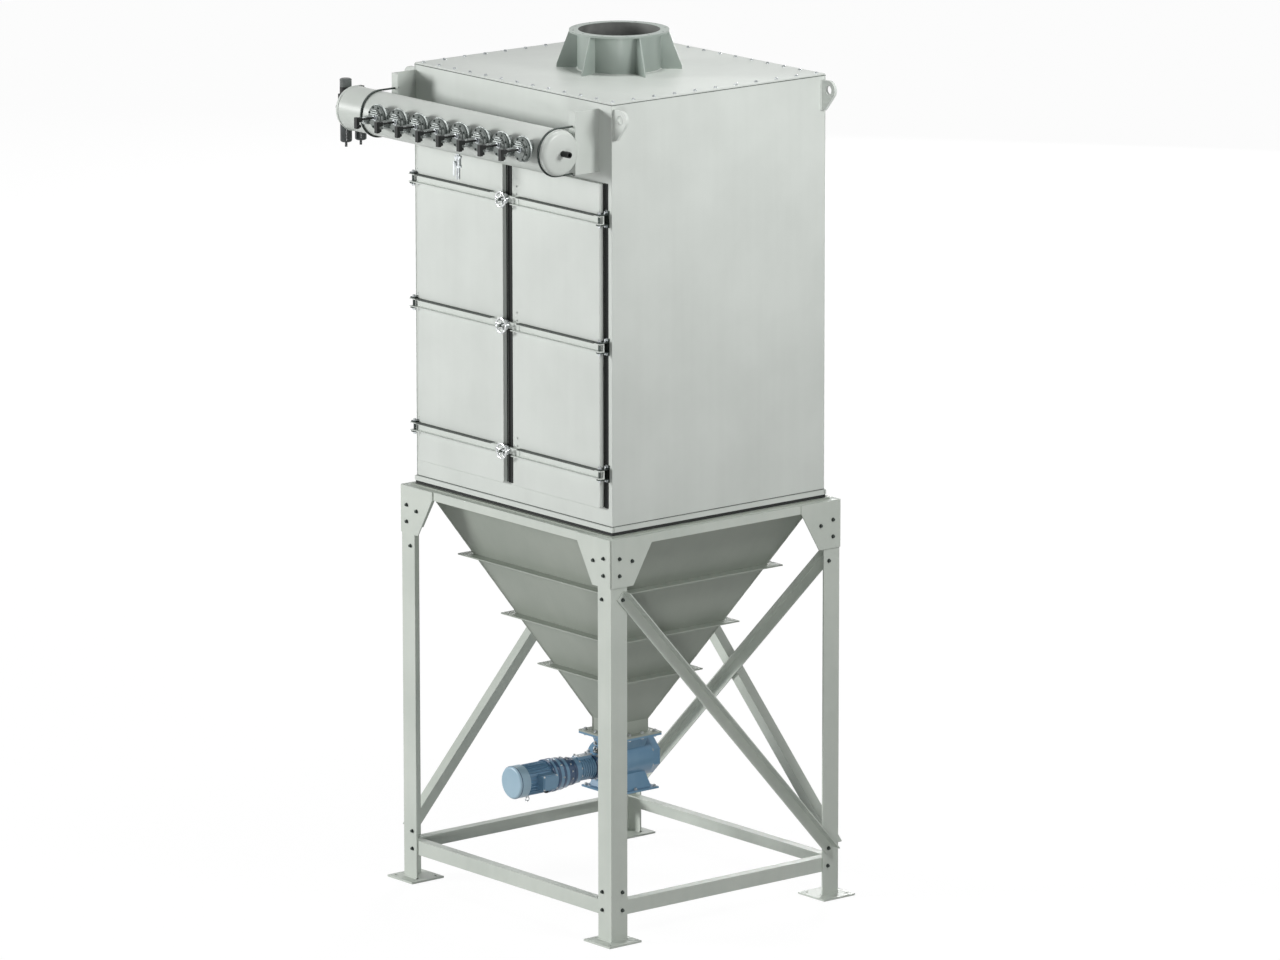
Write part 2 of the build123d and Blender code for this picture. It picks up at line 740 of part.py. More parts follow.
# U-bolts: round the tank and through the bracket flanges
bolt_length = front - bracket_reach + bracket_sheet + u_bolt_tail - tank_y
with BuildPart() as u_bolts:
    for edge, inward in bracket_sides:
        bolt_x = edge + inward * bracket_width / 2
        with BuildSketch(Plane(origin=(bolt_x, tank_y, tank_z), x_dir=(1, 0, 0), z_dir=(0, 1, 0))):
            with Locations((0, bolt_bend)):
                Circle(u_bolt_radius)
        revolve(axis=Axis((bolt_x, tank_y, tank_z), (-1, 0, 0)), revolution_arc=180)
        for end in (-1, 1):
            with BuildSketch(Plane(origin=(bolt_x, tank_y, tank_z + end * bolt_bend), x_dir=(1, 0, 0),
                                   z_dir=(0, 1, 0))):
                Circle(u_bolt_radius)
            extrude(amount=bolt_length)
save(u_bolts, "u_bolts")

# Pulse valves: a neck on the tank, a round base, a diaphragm edge and a bossed cover
valve_face = tank_y - tank_radius - valve_front + valve_boss_depth
with BuildPart() as pulse_valves:
    for x in valve_x:
        face = Plane(origin=(x, valve_face, valve_z), x_dir=(1, 0, 0), z_dir=(0, 1, 0))
        with BuildSketch(face):
            Circle(valve_radius)
        cover = extrude(amount=valve_cover_depth)
        chamfer(cover.edges().sort_by(Axis.Y)[0], valve_cover_round)
        with BuildSketch(face.offset(valve_cover_depth)):
            Circle(diaphragm_radius)
        extrude(amount=diaphragm_depth)
        with BuildSketch(face.offset(valve_cover_depth + diaphragm_depth)):
            Circle(valve_radius)
        extrude(amount=valve_base_depth)
        with BuildSketch(face):
            Circle(valve_boss_radius)
        extrude(amount=-valve_boss_depth)
        with BuildSketch(face):
            Circle(valve_neck_radius)
        extrude(amount=tank_y - valve_face)
    with BuildSketch(Plane(origin=(tank_left, tank_y, tank_z), x_dir=(0, 1, 0), z_dir=(1, 0, 0))):
        Circle(tank_radius + joint_gap)
    extrude(amount=tank_right - tank_left, mode=Mode.SUBTRACT)
save(pulse_valves, "pulse_valves")

# Pilot solenoids: a stem on each cover, the coil at its end and a plug with its cable gland below
stem_base = valve_face - valve_boss_depth
with BuildPart() as solenoids:
    for x in valve_x:
        face = Plane(origin=(x, stem_base, valve_z), x_dir=(1, 0, 0), z_dir=(0, -1, 0))
        with BuildSketch(face):
            Circle(stem_radius)
        extrude(amount=stem_length)
        with BuildSketch(face.offset(stem_length)):
            Rectangle(coil_width, coil_height)
        extrude(amount=coil_depth)
        with BuildSketch(face.offset(plug_start)):
            with Locations((0, plug_rise - plug_height / 2)):
                Rectangle(plug_width, plug_height)
        extrude(amount=plug_depth)
        with BuildSketch(face.offset(plug_start)):
            with Locations((0, -gland_drop)):
                Circle(gland_radius)
        extrude(amount=-gland_length)
save(solenoids, "solenoids")

# Blow pipes: from the tank through the front wall
with BuildPart() as blow_pipes:
    for x in valve_x:
        with BuildSketch(Plane(origin=(x, front, valve_z), x_dir=(1, 0, 0), z_dir=(0, -1, 0))):
            Circle(blow_pipe_radius)
        extrude(amount=tank_forward)
    with BuildSketch(Plane(origin=(tank_left, tank_y, tank_z), x_dir=(0, 1, 0), z_dir=(1, 0, 0))):
        Circle(tank_radius + joint_gap)
    extrude(amount=tank_right - tank_left, mode=Mode.SUBTRACT)
save(blow_pipes, "blow_pipes")

# Air treatment unit: filter-regulator and lubricator side by side on the tank's left end
unit_x = tank_left - unit_gap - unit_body / 2
unit_y = (tank_y, tank_y + unit_pitch)
unit_low = tank_z - unit_foot_drop
unit_high = tank_z + unit_top_rise
with BuildPart() as air_unit:
    for y in unit_y:
        with BuildSketch(Plane.XY.offset(unit_low)):
            with Locations((unit_x, y)):
                RectangleRounded(unit_body, unit_body, unit_corner)
        extrude(amount=unit_high - unit_low)
    with BuildSketch(Plane.XY.offset(unit_high)):
        with Locations((unit_x, unit_y[0])):
            Circle(collar_radius)
    extrude(amount=collar_height)
    with BuildSketch(Plane(origin=(unit_x, unit_y[0], tank_z), x_dir=(1, 0, 0), z_dir=(0, 1, 0))):
        Circle(unit_body / 3)
    extrude(amount=unit_pitch)
    with BuildSketch(Plane(origin=(unit_x, tank_y, tank_z), x_dir=(0, 1, 0), z_dir=(1, 0, 0))):
        Circle(unit_body / 4)
    extrude(amount=unit_body / 2 + unit_gap - joint_gap)
save(air_unit, "air_unit")
with BuildPart() as air_bowls:
    for y in unit_y:
        bowl_foot = Plane(origin=(unit_x, y, unit_low), x_dir=(1, 0, 0), z_dir=(0, 0, -1))
        with BuildSketch(bowl_foot):
            Circle(bowl_radius)
        bowl = extrude(amount=bowl_length)
        fillet(bowl.edges().sort_by(Axis.Z)[0], bowl_round)
        with BuildSketch(bowl_foot.offset(bowl_length)):
            Circle(bowl_nipple_radius)
        extrude(amount=bowl_nipple_length)
save(air_bowls, "air_bowls")
knob_base = unit_high + collar_height + joint_gap
with BuildPart() as regulator_knob:
    with BuildSketch(Plane.XY.offset(knob_base)):
        with Locations((unit_x, unit_y[0])):
            Circle(knob_radius)
            with PolarLocations(knob_radius + knob_flute_radius / 2, knob_flute_count):
                Circle(knob_flute_radius, mode=Mode.SUBTRACT)
    extrude(amount=knob_height)
save(regulator_knob, "regulator_knob")

# Tank drain: a ball valve with two hexagons under the tank, and its lever
drain_top = tank_z - tank_radius - joint_gap
lever_level = drain_top - drain_length / 3
with BuildPart() as drain_valve:
    with BuildSketch(Plane(origin=(drain_x, tank_y, drain_top), x_dir=(1, 0, 0), z_dir=(0, 0, -1))):
        Circle(drain_radius)
    extrude(amount=drain_length)
    with BuildSketch(Plane.XY.offset(lever_level)):
        with Locations((drain_x, tank_y)):
            Circle(drain_body_radius)
    extrude(amount=drain_body_length / 2, both=True)
    for end in (-1, 1):
        with BuildSketch(Plane.XY.offset(lever_level + end * (drain_body_length - drain_hex_length) / 2)):
            with Locations((drain_x, tank_y)):
                RegularPolygon(drain_hex_radius, 6, major_radius=False)
        extrude(amount=drain_hex_length / 2, both=True)
    with BuildSketch(Plane(origin=(drain_x, tank_y, lever_level), x_dir=(1, 0, 0), z_dir=(0, -1, 0))):
        Circle(drain_stem_radius)
    extrude(amount=drain_stem_reach)
save(drain_valve, "drain_valve")
with BuildPart() as drain_lever:
    lever_y = tank_y - drain_stem_reach - joint_gap
    with BuildSketch(Plane(origin=(drain_x, lever_y, lever_level), x_dir=(1, 0, 0), z_dir=(0, -1, 0))):
        with Locations((0, (lever_width - lever_length) / 2)):
            SlotOverall(lever_length, lever_width, rotation=90)
    extrude(amount=lever_sheet)
save(drain_lever, "drain_lever")

# Rotary valve body: a bored cylinder between two square flares, each with its flange
valve_top = neck_flange_level
flange_under = valve_top - valve_flange_sheet
flange_over = outlet_flange_level + valve_flange_sheet
with BuildPart() as valve_body:
    with BuildSketch(Plane.XY.offset(flange_under)):
        Rectangle(2 * neck_flange_half, 2 * neck_flange_half)
    extrude(amount=valve_flange_sheet)
    for waist, end, end_half in ((valve_axis_level + waist_height, flange_under, inlet_flare_half),
                                 (valve_axis_level - waist_height, flange_over, outlet_flare_half)):
        with BuildSketch(Plane.XY.offset(waist)):
            Rectangle(2 * waist_half, 2 * waist_half)
        with BuildSketch(Plane.XY.offset(end)):
            Rectangle(2 * end_half, 2 * end_half)
        loft()
    with BuildSketch(Plane.XY.offset(outlet_flange_level)):
        Rectangle(2 * outlet_flange_half, 2 * outlet_flange_half)
        with GridLocations(outlet_bolt_spacing, outlet_bolt_spacing, 2, 2):
            Circle(flange_hole_radius, mode=Mode.SUBTRACT)
    extrude(amount=valve_flange_sheet)
    with BuildSketch(Plane(origin=(0, body_length / 2, valve_axis_level), x_dir=(1, 0, 0), z_dir=(0, -1, 0))):
        Circle(body_radius)
    extrude(amount=body_length)
    with BuildSketch(Plane(origin=(0, body_length / 2, valve_axis_level), x_dir=(1, 0, 0), z_dir=(0, -1, 0))):
        Circle(bore_radius)
    extrude(amount=body_length, mode=Mode.SUBTRACT)
    with BuildSketch(Plane.XY.offset(outlet_flange_level)):
        Rectangle(2 * throat_half, 2 * (outlet_half - sheet))
    extrude(amount=valve_top - outlet_flange_level, mode=Mode.SUBTRACT)
save(valve_body, "valve_body")

# End covers: a round plate with a bearing housing on it, flat on the drive side and deep at the back
with BuildPart() as valve_covers:
    for sy in (-1, 1):
        end_face = Plane(origin=(0, sy * body_length / 2, valve_axis_level), x_dir=(1, 0, 0), z_dir=(0, sy, 0))
        with BuildSketch(end_face):
            Circle(end_plate_radius)
        extrude(amount=end_plate_sheet)
        with BuildSketch(end_face.offset(end_plate_sheet)):
            if sy < 0:
                bearing = Rectangle(2 * front_bearing_half, 2 * front_bearing_rise)
                chamfer(bearing.vertices(), front_bearing_corner)
            else:
                RegularPolygon(back_bearing_radius, 8, major_radius=False, rotation=22.5)
        extrude(amount=front_bearing_depth if sy < 0 else back_bearing_depth)
        with BuildSketch(end_face):
            Circle(shaft_radius + stud_fit)
        extrude(amount=end_plate_sheet + back_bearing_depth, mode=Mode.SUBTRACT)
save(valve_covers, "valve_covers")

# Rotor: a shaft with six vanes
rotor_half = body_length / 2 - vane_fit
lantern_start = body_length / 2 + end_plate_sheet + front_bearing_depth
shaft_back = body_length / 2 + end_plate_sheet + back_bearing_depth
with BuildPart() as rotor:
    with BuildSketch(Plane(origin=(0, shaft_back, valve_axis_level), x_dir=(1, 0, 0), z_dir=(0, -1, 0))):
        Circle(shaft_radius)
    extrude(amount=shaft_back + lantern_start)
    with BuildSketch(Plane(origin=(0, rotor_half, valve_axis_level), x_dir=(1, 0, 0), z_dir=(0, -1, 0))):
        Circle(rotor_hub_radius)
        with PolarLocations((bore_radius - vane_fit) / 2, vane_count):
            Rectangle(bore_radius - vane_fit, vane_sheet)
    extrude(amount=2 * rotor_half)
save(rotor, "rotor")



def drive_disc(start, end, radius, mode=Mode.ADD):
    """A round stretch of the drive between two distances in front of the casing's middle."""
    with BuildSketch(Plane(origin=(0, -start, drive_level), x_dir=(1, 0, 0), z_dir=(0, -1, 0))) as outline:
        Circle(radius)
    extrude(outline.sketch, amount=end - start, mode=mode)


# Lantern: a neck, a bolted flange and a ribbed coupling housing with a cover pad on top
with BuildPart() as lantern:
    drive_disc(lantern_start, lantern_neck_end, lantern_neck_radius)
    drive_disc(lantern_neck_end, lantern_neck_end + lantern_flange_sheet, lantern_flange_radius)
    drive_disc(lantern_neck_end, lantern_waist_end, lantern_waist_radius)
    drive_disc(lantern_waist_end, lantern_rib_end, lantern_radius)
    groove_pitch = (lantern_rib_end - lantern_waist_end) / (lantern_groove_count + 1)
    for k in range(lantern_groove_count):
        groove_start = lantern_waist_end + (k + 1) * groove_pitch - lantern_groove_width / 2
        with BuildSketch(Plane(origin=(0, -groove_start, drive_level), x_dir=(1, 0, 0), z_dir=(0, -1, 0))):
            Circle(lantern_radius)
            Circle(lantern_radius - lantern_groove_depth, mode=Mode.SUBTRACT)
        extrude(amount=lantern_groove_width, mode=Mode.SUBTRACT)
    drive_disc(lantern_rib_end, lantern_end, lantern_flange_radius)
    with BuildSketch(Plane.XY.offset(drive_level)):
        with Locations((0, -pad_start - pad_length / 2)):
            Rectangle(pad_width, pad_length)
    extrude(amount=pad_rise)
save(lantern, "lantern")

# Reducer: two stepped rings
with BuildPart() as reducer:
    drive_disc(lantern_end, reducer_step, reducer_radius)
    drive_disc(reducer_step, reducer_end, reducer_large_radius)
save(reducer, "reducer")

# Motor: a flange lip, an end shield, a finned body and its terminal box on the right
with BuildPart() as motor:
    drive_disc(reducer_end, shield_lip_end, shield_lip_radius)
    drive_disc(shield_lip_end, shield_end, shield_radius)
    drive_disc(shield_end, fan_start, motor_core_radius)
    fin_height = motor_fin_radius - motor_core_radius + motor_fin_sheet
    with BuildSketch(Plane(origin=(0, -shield_end, drive_level), x_dir=(1, 0, 0), z_dir=(0, -1, 0))):
        with PolarLocations(motor_fin_radius - fin_height / 2, motor_fin_count):
            Rectangle(fin_height, motor_fin_sheet)
    extrude(amount=fan_start - shield_end)
    with BuildSketch(Plane(origin=(0, -terminal_start, drive_level), x_dir=(1, 0, 0), z_dir=(0, -1, 0))):
        with Locations((terminal_reach / 2, 0)):
            Rectangle(terminal_reach, 2 * terminal_half_height)
    extrude(amount=terminal_length)
save(motor, "motor")

# Fan cover: a rounded cap over the motor's end
with BuildPart() as fan_cover:
    drive_disc(fan_start, motor_end, fan_cover_radius)
    fillet(fan_cover.faces().sort_by(Axis.Y)[0].edges(), fan_cover_round)
save(fan_cover, "fan_cover")
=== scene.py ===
import math

import bmesh
import bpy
from mathutils import Matrix, Vector


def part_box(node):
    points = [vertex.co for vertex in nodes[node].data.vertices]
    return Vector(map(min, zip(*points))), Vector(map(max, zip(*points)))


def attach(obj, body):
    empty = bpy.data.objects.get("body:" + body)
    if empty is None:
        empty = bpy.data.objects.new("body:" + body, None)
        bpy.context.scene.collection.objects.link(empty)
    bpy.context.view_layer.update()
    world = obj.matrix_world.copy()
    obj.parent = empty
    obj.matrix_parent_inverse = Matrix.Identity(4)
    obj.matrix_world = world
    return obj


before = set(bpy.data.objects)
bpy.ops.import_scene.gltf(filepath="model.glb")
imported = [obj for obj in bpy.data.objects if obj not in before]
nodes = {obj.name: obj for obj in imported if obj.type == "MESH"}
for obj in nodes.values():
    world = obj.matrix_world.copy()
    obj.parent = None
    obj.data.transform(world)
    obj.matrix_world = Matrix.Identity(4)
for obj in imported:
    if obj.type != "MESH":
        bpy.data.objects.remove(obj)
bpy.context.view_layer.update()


# Stand: four rolled-steel equal angles on square foot plates, tied by a mitred top ring, a lower ring
# and gusset plates. All of it is welded or bolted together, then sprayed with satin grey-green enamel.
def linear(hex_colour):
    """A colour written as sRGB hex, turned to the linear values that shaders use."""
    parts = [int(hex_colour[i:i + 2], 16) / 255 for i in (0, 2, 4)]
    return [p / 12.92 if p <= 0.04045 else ((p + 0.055) / 1.055) ** 2.4 for p in parts] + [1.0]


def add_node(material, kind, settings=None, values=None, links=None):
    """Adds one shader node, sets its properties and socket values, and links its inputs."""
    node = material.node_tree.nodes.new(kind)
    for name, value in (settings or {}).items():
        setattr(node, name, value)
    for name, value in (values or {}).items():
        node.inputs[name].default_value = value
    for name, output in (links or {}).items():
        material.node_tree.links.new(output, node.inputs[name])
    return node


def new_material(name, roughness, metallic=0.0):
    """A material with its shader's roughness and metallic set, and the shader returned beside it."""
    material = bpy.data.materials.new(name)
    material.use_nodes = True
    shader = material.node_tree.nodes["Principled BSDF"]
    shader.inputs["Roughness"].default_value = roughness
    shader.inputs["Metallic"].default_value = metallic
    return material, shader


def two_tone(material, factor, dark, light, low=0.35, high=0.65):
    """A colour that goes from one hex value to another as a pattern's factor rises."""
    ramp = add_node(material, "ShaderNodeValToRGB", None, None, {"Fac": factor})
    ramp.color_ramp.elements[0].position = low
    ramp.color_ramp.elements[1].position = high
    ramp.color_ramp.elements[0].color = linear(dark)
    ramp.color_ramp.elements[1].color = linear(light)
    return ramp.outputs["Color"]


def enamel(name, dark, light, roughness, peel_height):
    """Sprayed enamel on steel: the eye sees soft clouds of film thickness, faint runs and orange peel."""
    cloud_size = 0.45
    streak_size = 0.06
    streak_stretch = 0.05
    streak_share = 0.18
    # Real orange peel is about 2 mm across, drawn at 9 mm so that it shows at this size.
    peel_size = 0.009
    paint, shader = new_material(name, roughness)
    place = add_node(paint, "ShaderNodeTexCoord").outputs["Object"]
    clouds = add_node(paint, "ShaderNodeTexNoise", None, {"Scale": 1 / cloud_size, "Detail": 4.0},
                      {"Vector": place})
    stretched = add_node(paint, "ShaderNodeMapping", None,
                         {"Scale": (1 / streak_size, 1 / streak_size, streak_stretch / streak_size)},
                         {"Vector": place})
    streaks = add_node(paint, "ShaderNodeTexNoise", None, {"Scale": 1.0, "Detail": 2.0},
                       {"Vector": stretched.outputs["Vector"]})
    blend = add_node(paint, "ShaderNodeMix", None, {0: streak_share},
                     {2: clouds.outputs["Fac"], 3: streaks.outputs["Fac"]})
    paint.node_tree.links.new(two_tone(paint, blend.outputs[0], dark, light), shader.inputs["Base Color"])
    peel = add_node(paint, "ShaderNodeTexNoise", None, {"Scale": 1 / peel_size, "Detail": 1.0},
                    {"Vector": place})
    bump = add_node(paint, "ShaderNodeBump", None, {"Strength": 0.25, "Distance": peel_height},
                    {"Height": peel.outputs["Fac"]})
    paint.node_tree.links.new(bump.outputs["Normal"], shader.inputs["Normal"])
    shine = add_node(paint, "ShaderNodeMapRange", None,
                     {"To Min": roughness - 0.06, "To Max": roughness + 0.08},
                     {"Value": clouds.outputs["Fac"]})
    paint.node_tree.links.new(shine.outputs["Result"], shader.inputs["Roughness"])
    return paint


def dress(material, *names):
    """Gives CAD nodes their material."""
    for name in names:
        nodes[name].data.materials.clear()
        nodes[name].data.materials.append(material)


# Satin enamel: pale grey-green, a soft broad gloss and hardly any texture from a few metres away.
frame_enamel = enamel("satin_grey_green_enamel_on_angle_steel", "BCC3BB", "C7CDC5", 0.42, 0.0004)
dress(frame_enamel, "leg_front_left", "leg_front_right", "leg_back_left", "leg_back_right", "top_beams",
      "lower_beams", "gusset_plates", "brace_right", "brace_left", "brace_back_rising", "brace_back_falling")


# Stand bolts: blackened hexagon bolts with washers through the gussets, the legs and the braces.
# Each head has the turned chamfer on top and sits on a flat round washer.
def deselect():
    """Leaves edit mode and selects nothing, as each new piece needs."""
    if bpy.context.object and bpy.context.object.mode != "OBJECT":
        bpy.ops.object.mode_set(mode="OBJECT")
    bpy.ops.object.select_all(action="DESELECT")


def start_edit():
    """Applies the new primitive's place to its mesh and opens it in edit mode."""
    bpy.ops.object.transform_apply(location=True, rotation=True, scale=True)
    bpy.ops.object.mode_set(mode="EDIT")


def pick(kind, test):
    """In edit mode, selects the faces or edges whose middle and direction pass a test, nothing else."""
    bpy.context.tool_settings.mesh_select_mode = (False, kind == "edges", kind == "faces")
    mesh = bmesh.from_edit_mesh(bpy.context.object.data)
    for item in list(mesh.verts) + list(mesh.edges) + list(mesh.faces):
        item.select_set(False)
    for item in getattr(mesh, kind):
        if kind == "faces":
            middle, direction = item.calc_center_median(), item.normal
        else:
            middle = (item.verts[0].co + item.verts[1].co) / 2
            direction = (item.verts[1].co - item.verts[0].co).normalized()
        if test(middle, direction):
            item.select_set(True)
    mesh.select_flush_mode()
    bmesh.update_edit_mesh(bpy.context.object.data)


upright = (0, 0, 0)
along_x = (0, math.pi / 2, 0)
along_y = (math.pi / 2, 0, 0)


def round_bar(middle, radius, length, sides, lie=upright):
    """A round bar at its size and place, open in edit mode."""
    deselect()
    bpy.ops.mesh.primitive_cylinder_add(vertices=sides, radius=radius, depth=length, location=middle,
                                        rotation=lie)
    bar = bpy.context.object
    start_edit()
    return bar


def join(pieces):
    """Joins pieces into the first of them."""
    deselect()
    for piece in pieces:
        piece.select_set(True)
    bpy.context.view_layer.objects.active = pieces[0]
    if len(pieces) > 1:
        bpy.ops.object.join()
    return pieces[0]


def hex_bolt(across, height, washer_height=0.003):
    """One hexagon head on its washer, standing on the origin."""
    head = round_bar((0, 0, washer_height + height / 2), across / math.sqrt(3), height, 6)
    pick("faces", lambda middle, normal: normal.z > 0.9)
    bpy.ops.mesh.inset(thickness=across * 0.09, depth=0)
    bpy.ops.transform.translate(value=(0, 0, height * 0.12))
    washer = round_bar((0, 0, washer_height / 2), across * 0.8, washer_height, 14)
    pick("faces", lambda middle, normal: normal.z > 0.9)
    bpy.ops.mesh.bevel(offset=washer_height * 0.3, segments=1)
    return join([head, washer])


def set_copies(model, places):
    """Copies a model that stands on +Z to each point, turned to its direction, and joins the copies."""
    copies = []
    for point, direction in places:
        turn = Vector((0, 0, 1)).rotation_difference(Vector(direction)).to_matrix().to_4x4()
        copy = model.copy()
        copy.data = model.data.copy()
        copy.data.transform(Matrix.Translation(Vector(point)) @ turn)
        bpy.context.collection.objects.link(copy)
        copies.append(copy)
    bpy.data.objects.remove(model)
    return join(copies)


def metal(name, dark, light, roughness, grain_size, grain_height):
    """Bare or plated metal: the eye sees a cloudy bright skin with a little grain in its gloss."""
    skin, shader = new_material(name, roughness, 1.0)
    place = add_node(skin, "ShaderNodeTexCoord").outputs["Object"]
    clouds = add_node(skin, "ShaderNodeTexNoise", None, {"Scale": 1 / (grain_size * 8), "Detail": 3.0},
                      {"Vector": place})
    skin.node_tree.links.new(two_tone(skin, clouds.outputs["Fac"], dark, light), shader.inputs["Base Color"])
    grain = add_node(skin, "ShaderNodeTexNoise", None, {"Scale": 1 / grain_size, "Detail": 2.0},
                     {"Vector": place})
    bump = add_node(skin, "ShaderNodeBump", None, {"Strength": 0.3, "Distance": grain_height},
                    {"Height": grain.outputs["Fac"]})
    skin.node_tree.links.new(bump.outputs["Normal"], shader.inputs["Normal"])
    shine = add_node(skin, "ShaderNodeMapRange", None,
                     {"To Min": roughness - 0.08, "To Max": roughness + 0.1}, {"Value": grain.outputs["Fac"]})
    skin.node_tree.links.new(shine.outputs["Result"], shader.inputs["Roughness"])
    return skin


def finish(piece, name, material, body="collector"):
    """Names a piece, gives it its material and slot, and lets it ride on its body."""
    deselect()
    piece.name = name
    piece.data.name = name
    piece.data.materials.clear()
    piece.data.materials.append(material)
    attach(piece, body)
    return piece


# Blackened steel: an oily blue-black skin with a low, broad gloss.
black_steel = metal("blackened_bolt_steel", "363B39", "484E4B", 0.42, 0.003, 0.0002)
corners = [(sx, sy) for sx in (-1, 1) for sy in (-1, 1)]
leg_x, leg_y, stand_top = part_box("top_beams")[1]
gusset_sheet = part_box("gusset_plates")[1][0] - leg_x
brace_sheet = 0.007
bolt_from_heel = 0.085
brace_foot = 0.313
brace_head = 2.130
leg_bolt_levels = (0.200, brace_foot, brace_head)
gusset_bolt_places = ((0.060, 0.120), (0.060, 0.225), (0.158, 0.146))
bolts_on_side_braces = {(1, -1, brace_head), (1, 1, brace_foot), (-1, -1, brace_foot), (-1, 1, brace_head)}
bolts_on_back_braces = {(1, 1, brace_foot), (-1, 1, brace_head)}
places = []
for sx, sy in corners:
    for from_heel, drop in gusset_bolt_places:
        places.append(((sx * (leg_x - from_heel), sy * (leg_y + gusset_sheet), stand_top - drop), (0, sy, 0)))
        places.append(((sx * (leg_x + gusset_sheet), sy * (leg_y - from_heel), stand_top - drop), (sx, 0, 0)))
    for level in leg_bolt_levels:
        lift = brace_sheet if (sx, sy, level) in bolts_on_back_braces else 0
        places.append(((sx * (leg_x - bolt_from_heel), sy * (leg_y + lift), level), (0, sy, 0)))
        lift = brace_sheet if (sx, sy, level) in bolts_on_side_braces else 0
        places.append(((sx * (leg_x + lift), sy * (leg_y - bolt_from_heel), level), (sx, 0, 0)))
finish(set_copies(hex_bolt(0.016, 0.010, 0.002), places), "stand_bolts", black_steel)

# Stand welds: a fillet bead runs round each leg where it meets its foot plate. The beads are painted
# over with the stand and show as a soft rounded line in the corner.
foot_sheet = 0.012
leg_size = 0.125
leg_sheet = 0.010
foot_bead_radius = 0.005


def smooth(degrees):
    """Leaves edit mode and shades the piece smooth, except over edges sharper than an angle."""
    bpy.ops.object.mode_set(mode="OBJECT")
    bpy.ops.object.shade_smooth_by_angle(angle=math.radians(degrees))


def bead(start, end, radius):
    """One weld bead between two points: a rod whose rings swell and shrink like the ripples of a weld."""
    run = Vector(end) - Vector(start)
    rings = max(2, int(run.length / (radius * 12)))
    ripple = 1.2
    rod = round_bar((0, 0, 0), radius, run.length, 8)
    pick("edges", lambda middle, direction: abs(direction.z) > 0.9)
    bpy.ops.mesh.subdivide(number_cuts=rings)
    pick("edges", lambda middle, direction: abs(direction.z) < 0.1
         and round((middle.z / run.length + 0.5) * (rings + 1)) % 2 == 1)
    bpy.ops.transform.resize(value=(ripple, ripple, 1))
    smooth(50)
    rod.rotation_euler = run.to_track_quat("Z", "Y").to_euler()
    rod.location = (Vector(start) + Vector(end)) / 2
    bpy.ops.object.transform_apply(location=True, rotation=True, scale=True)
    deselect()
    return rod


beads = []
for sx, sy in corners:
    heel = Vector((sx * leg_x, sy * leg_y, foot_sheet))
    inner = heel - Vector((sx * leg_sheet, sy * leg_sheet, 0))
    for corner, run in ((heel, leg_size), (inner, leg_size - leg_sheet)):
        beads.append(bead(corner, corner - Vector((sx * run, 0, 0)), foot_bead_radius))
        beads.append(bead(corner, corner - Vector((0, sy * run, 0)), foot_bead_radius))
finish(join(beads), "foot_welds", frame_enamel)

# Hopper: four folded steel plates with ribs, welded along their slanting corners and sprayed inside
# and out. The enamel is the same, but the slopes are given a darker tone and a duller gloss.
hopper_enamel = enamel("dulled_grey_green_enamel_on_sheet_steel", "929990", "9CA299", 0.5, 0.0003)
dress(hopper_enamel, "hopper_front", "hopper_right", "hopper_back", "hopper_left", "hopper_neck")
neck_low, neck_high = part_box("hopper_neck")
neck_flange_sheet = 0.012
neck_half = 0.120
mouth_x = 0.922
mouth_y = 0.8045
hopper_bead_radius = 0.004
beads = []
for sx, sy in corners:
    foot = (sx * neck_half, sy * neck_half, neck_high[2])
    beads.append(bead(foot, (sx * mouth_x, sy * mouth_y, stand_top), hopper_bead_radius))
    flange = (sx * neck_half, sy * neck_half, neck_low[2] + neck_flange_sheet)
    beads.append(bead(flange, foot, hopper_bead_radius))
finish(join(beads), "hopper_welds", hopper_enamel)

# Neck bolts: the hopper's neck is bolted to the rotary valve through both square flanges, with heads
# above and nuts below.
# Bright zinc plating: a cloudy, slightly bluish silver that is duller than polished steel.
zinc_plate = metal("bright_zinc_plated_steel", "9A9EA0", "BFC3C4", 0.36, 0.004, 0.0003)
neck_bolt_half = 0.152
flange_bolt_steps = (-1, -1 / 3, 1 / 3, 1)
places = []
for i in flange_bolt_steps:
    for j in flange_bolt_steps:
        if abs(i) == 1 or abs(j) == 1:
            x = i * neck_bolt_half
            y = j * neck_bolt_half
            places.append(((x, y, neck_low[2] + neck_flange_sheet), (0, 0, 1)))
            places.append(((x, y, neck_low[2] - neck_flange_sheet), (0, 0, -1)))
finish(set_copies(hex_bolt(0.019, 0.009), places), "neck_bolts", zinc_plate)

# Casing: flat steel sheets welded into a tall box, with a belt along the foot. It is sprayed with the
# satin grey-green enamel, and the outlet collar on top is given a darker tone of it.
casing_enamel = enamel("satin_grey_green_enamel_on_casing_sheet", "C6CBC6", "CDD2CD", 0.4, 0.0003)
dress(casing_enamel, "wall_left", "wall_right", "wall_back", "wall_front_top", "wall_front_bottom",
      "door_posts", "tube_sheet", "roof", "lifting_lugs")
collar_darker_tone = enamel("darker_grey_green_on_the_collar", "8A948E", "98A29B", 0.36, 0.0003)
dress(collar_darker_tone, "outlet_collar")
wall_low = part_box("wall_left")[0][2]
roof_low, roof_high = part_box("roof")
half_x, half_y, roof_top = roof_high
front = -half_y
belt_height = 0.030
corner_bead_radius = 0.003
beads = []
for sx, sy in corners:
    foot = (sx * half_x, sy * half_y, wall_low + belt_height)
    beads.append(bead(foot, (sx * half_x, sy * half_y, roof_low[2]), corner_bead_radius))
finish(join(beads), "casing_corner_welds", casing_enamel)

# Casing joints: a black sponge strip is squeezed between the hopper's flange and the casing, and a bead
# of dark grey mastic closes the seams over the belt and under the roof plate.
hair = 0.0005
packing_low = stand_top + 0.008
flange_reach = 0.034
packing_cover = 0.0015
mastic_reach = 0.003
mastic_height = 0.0045


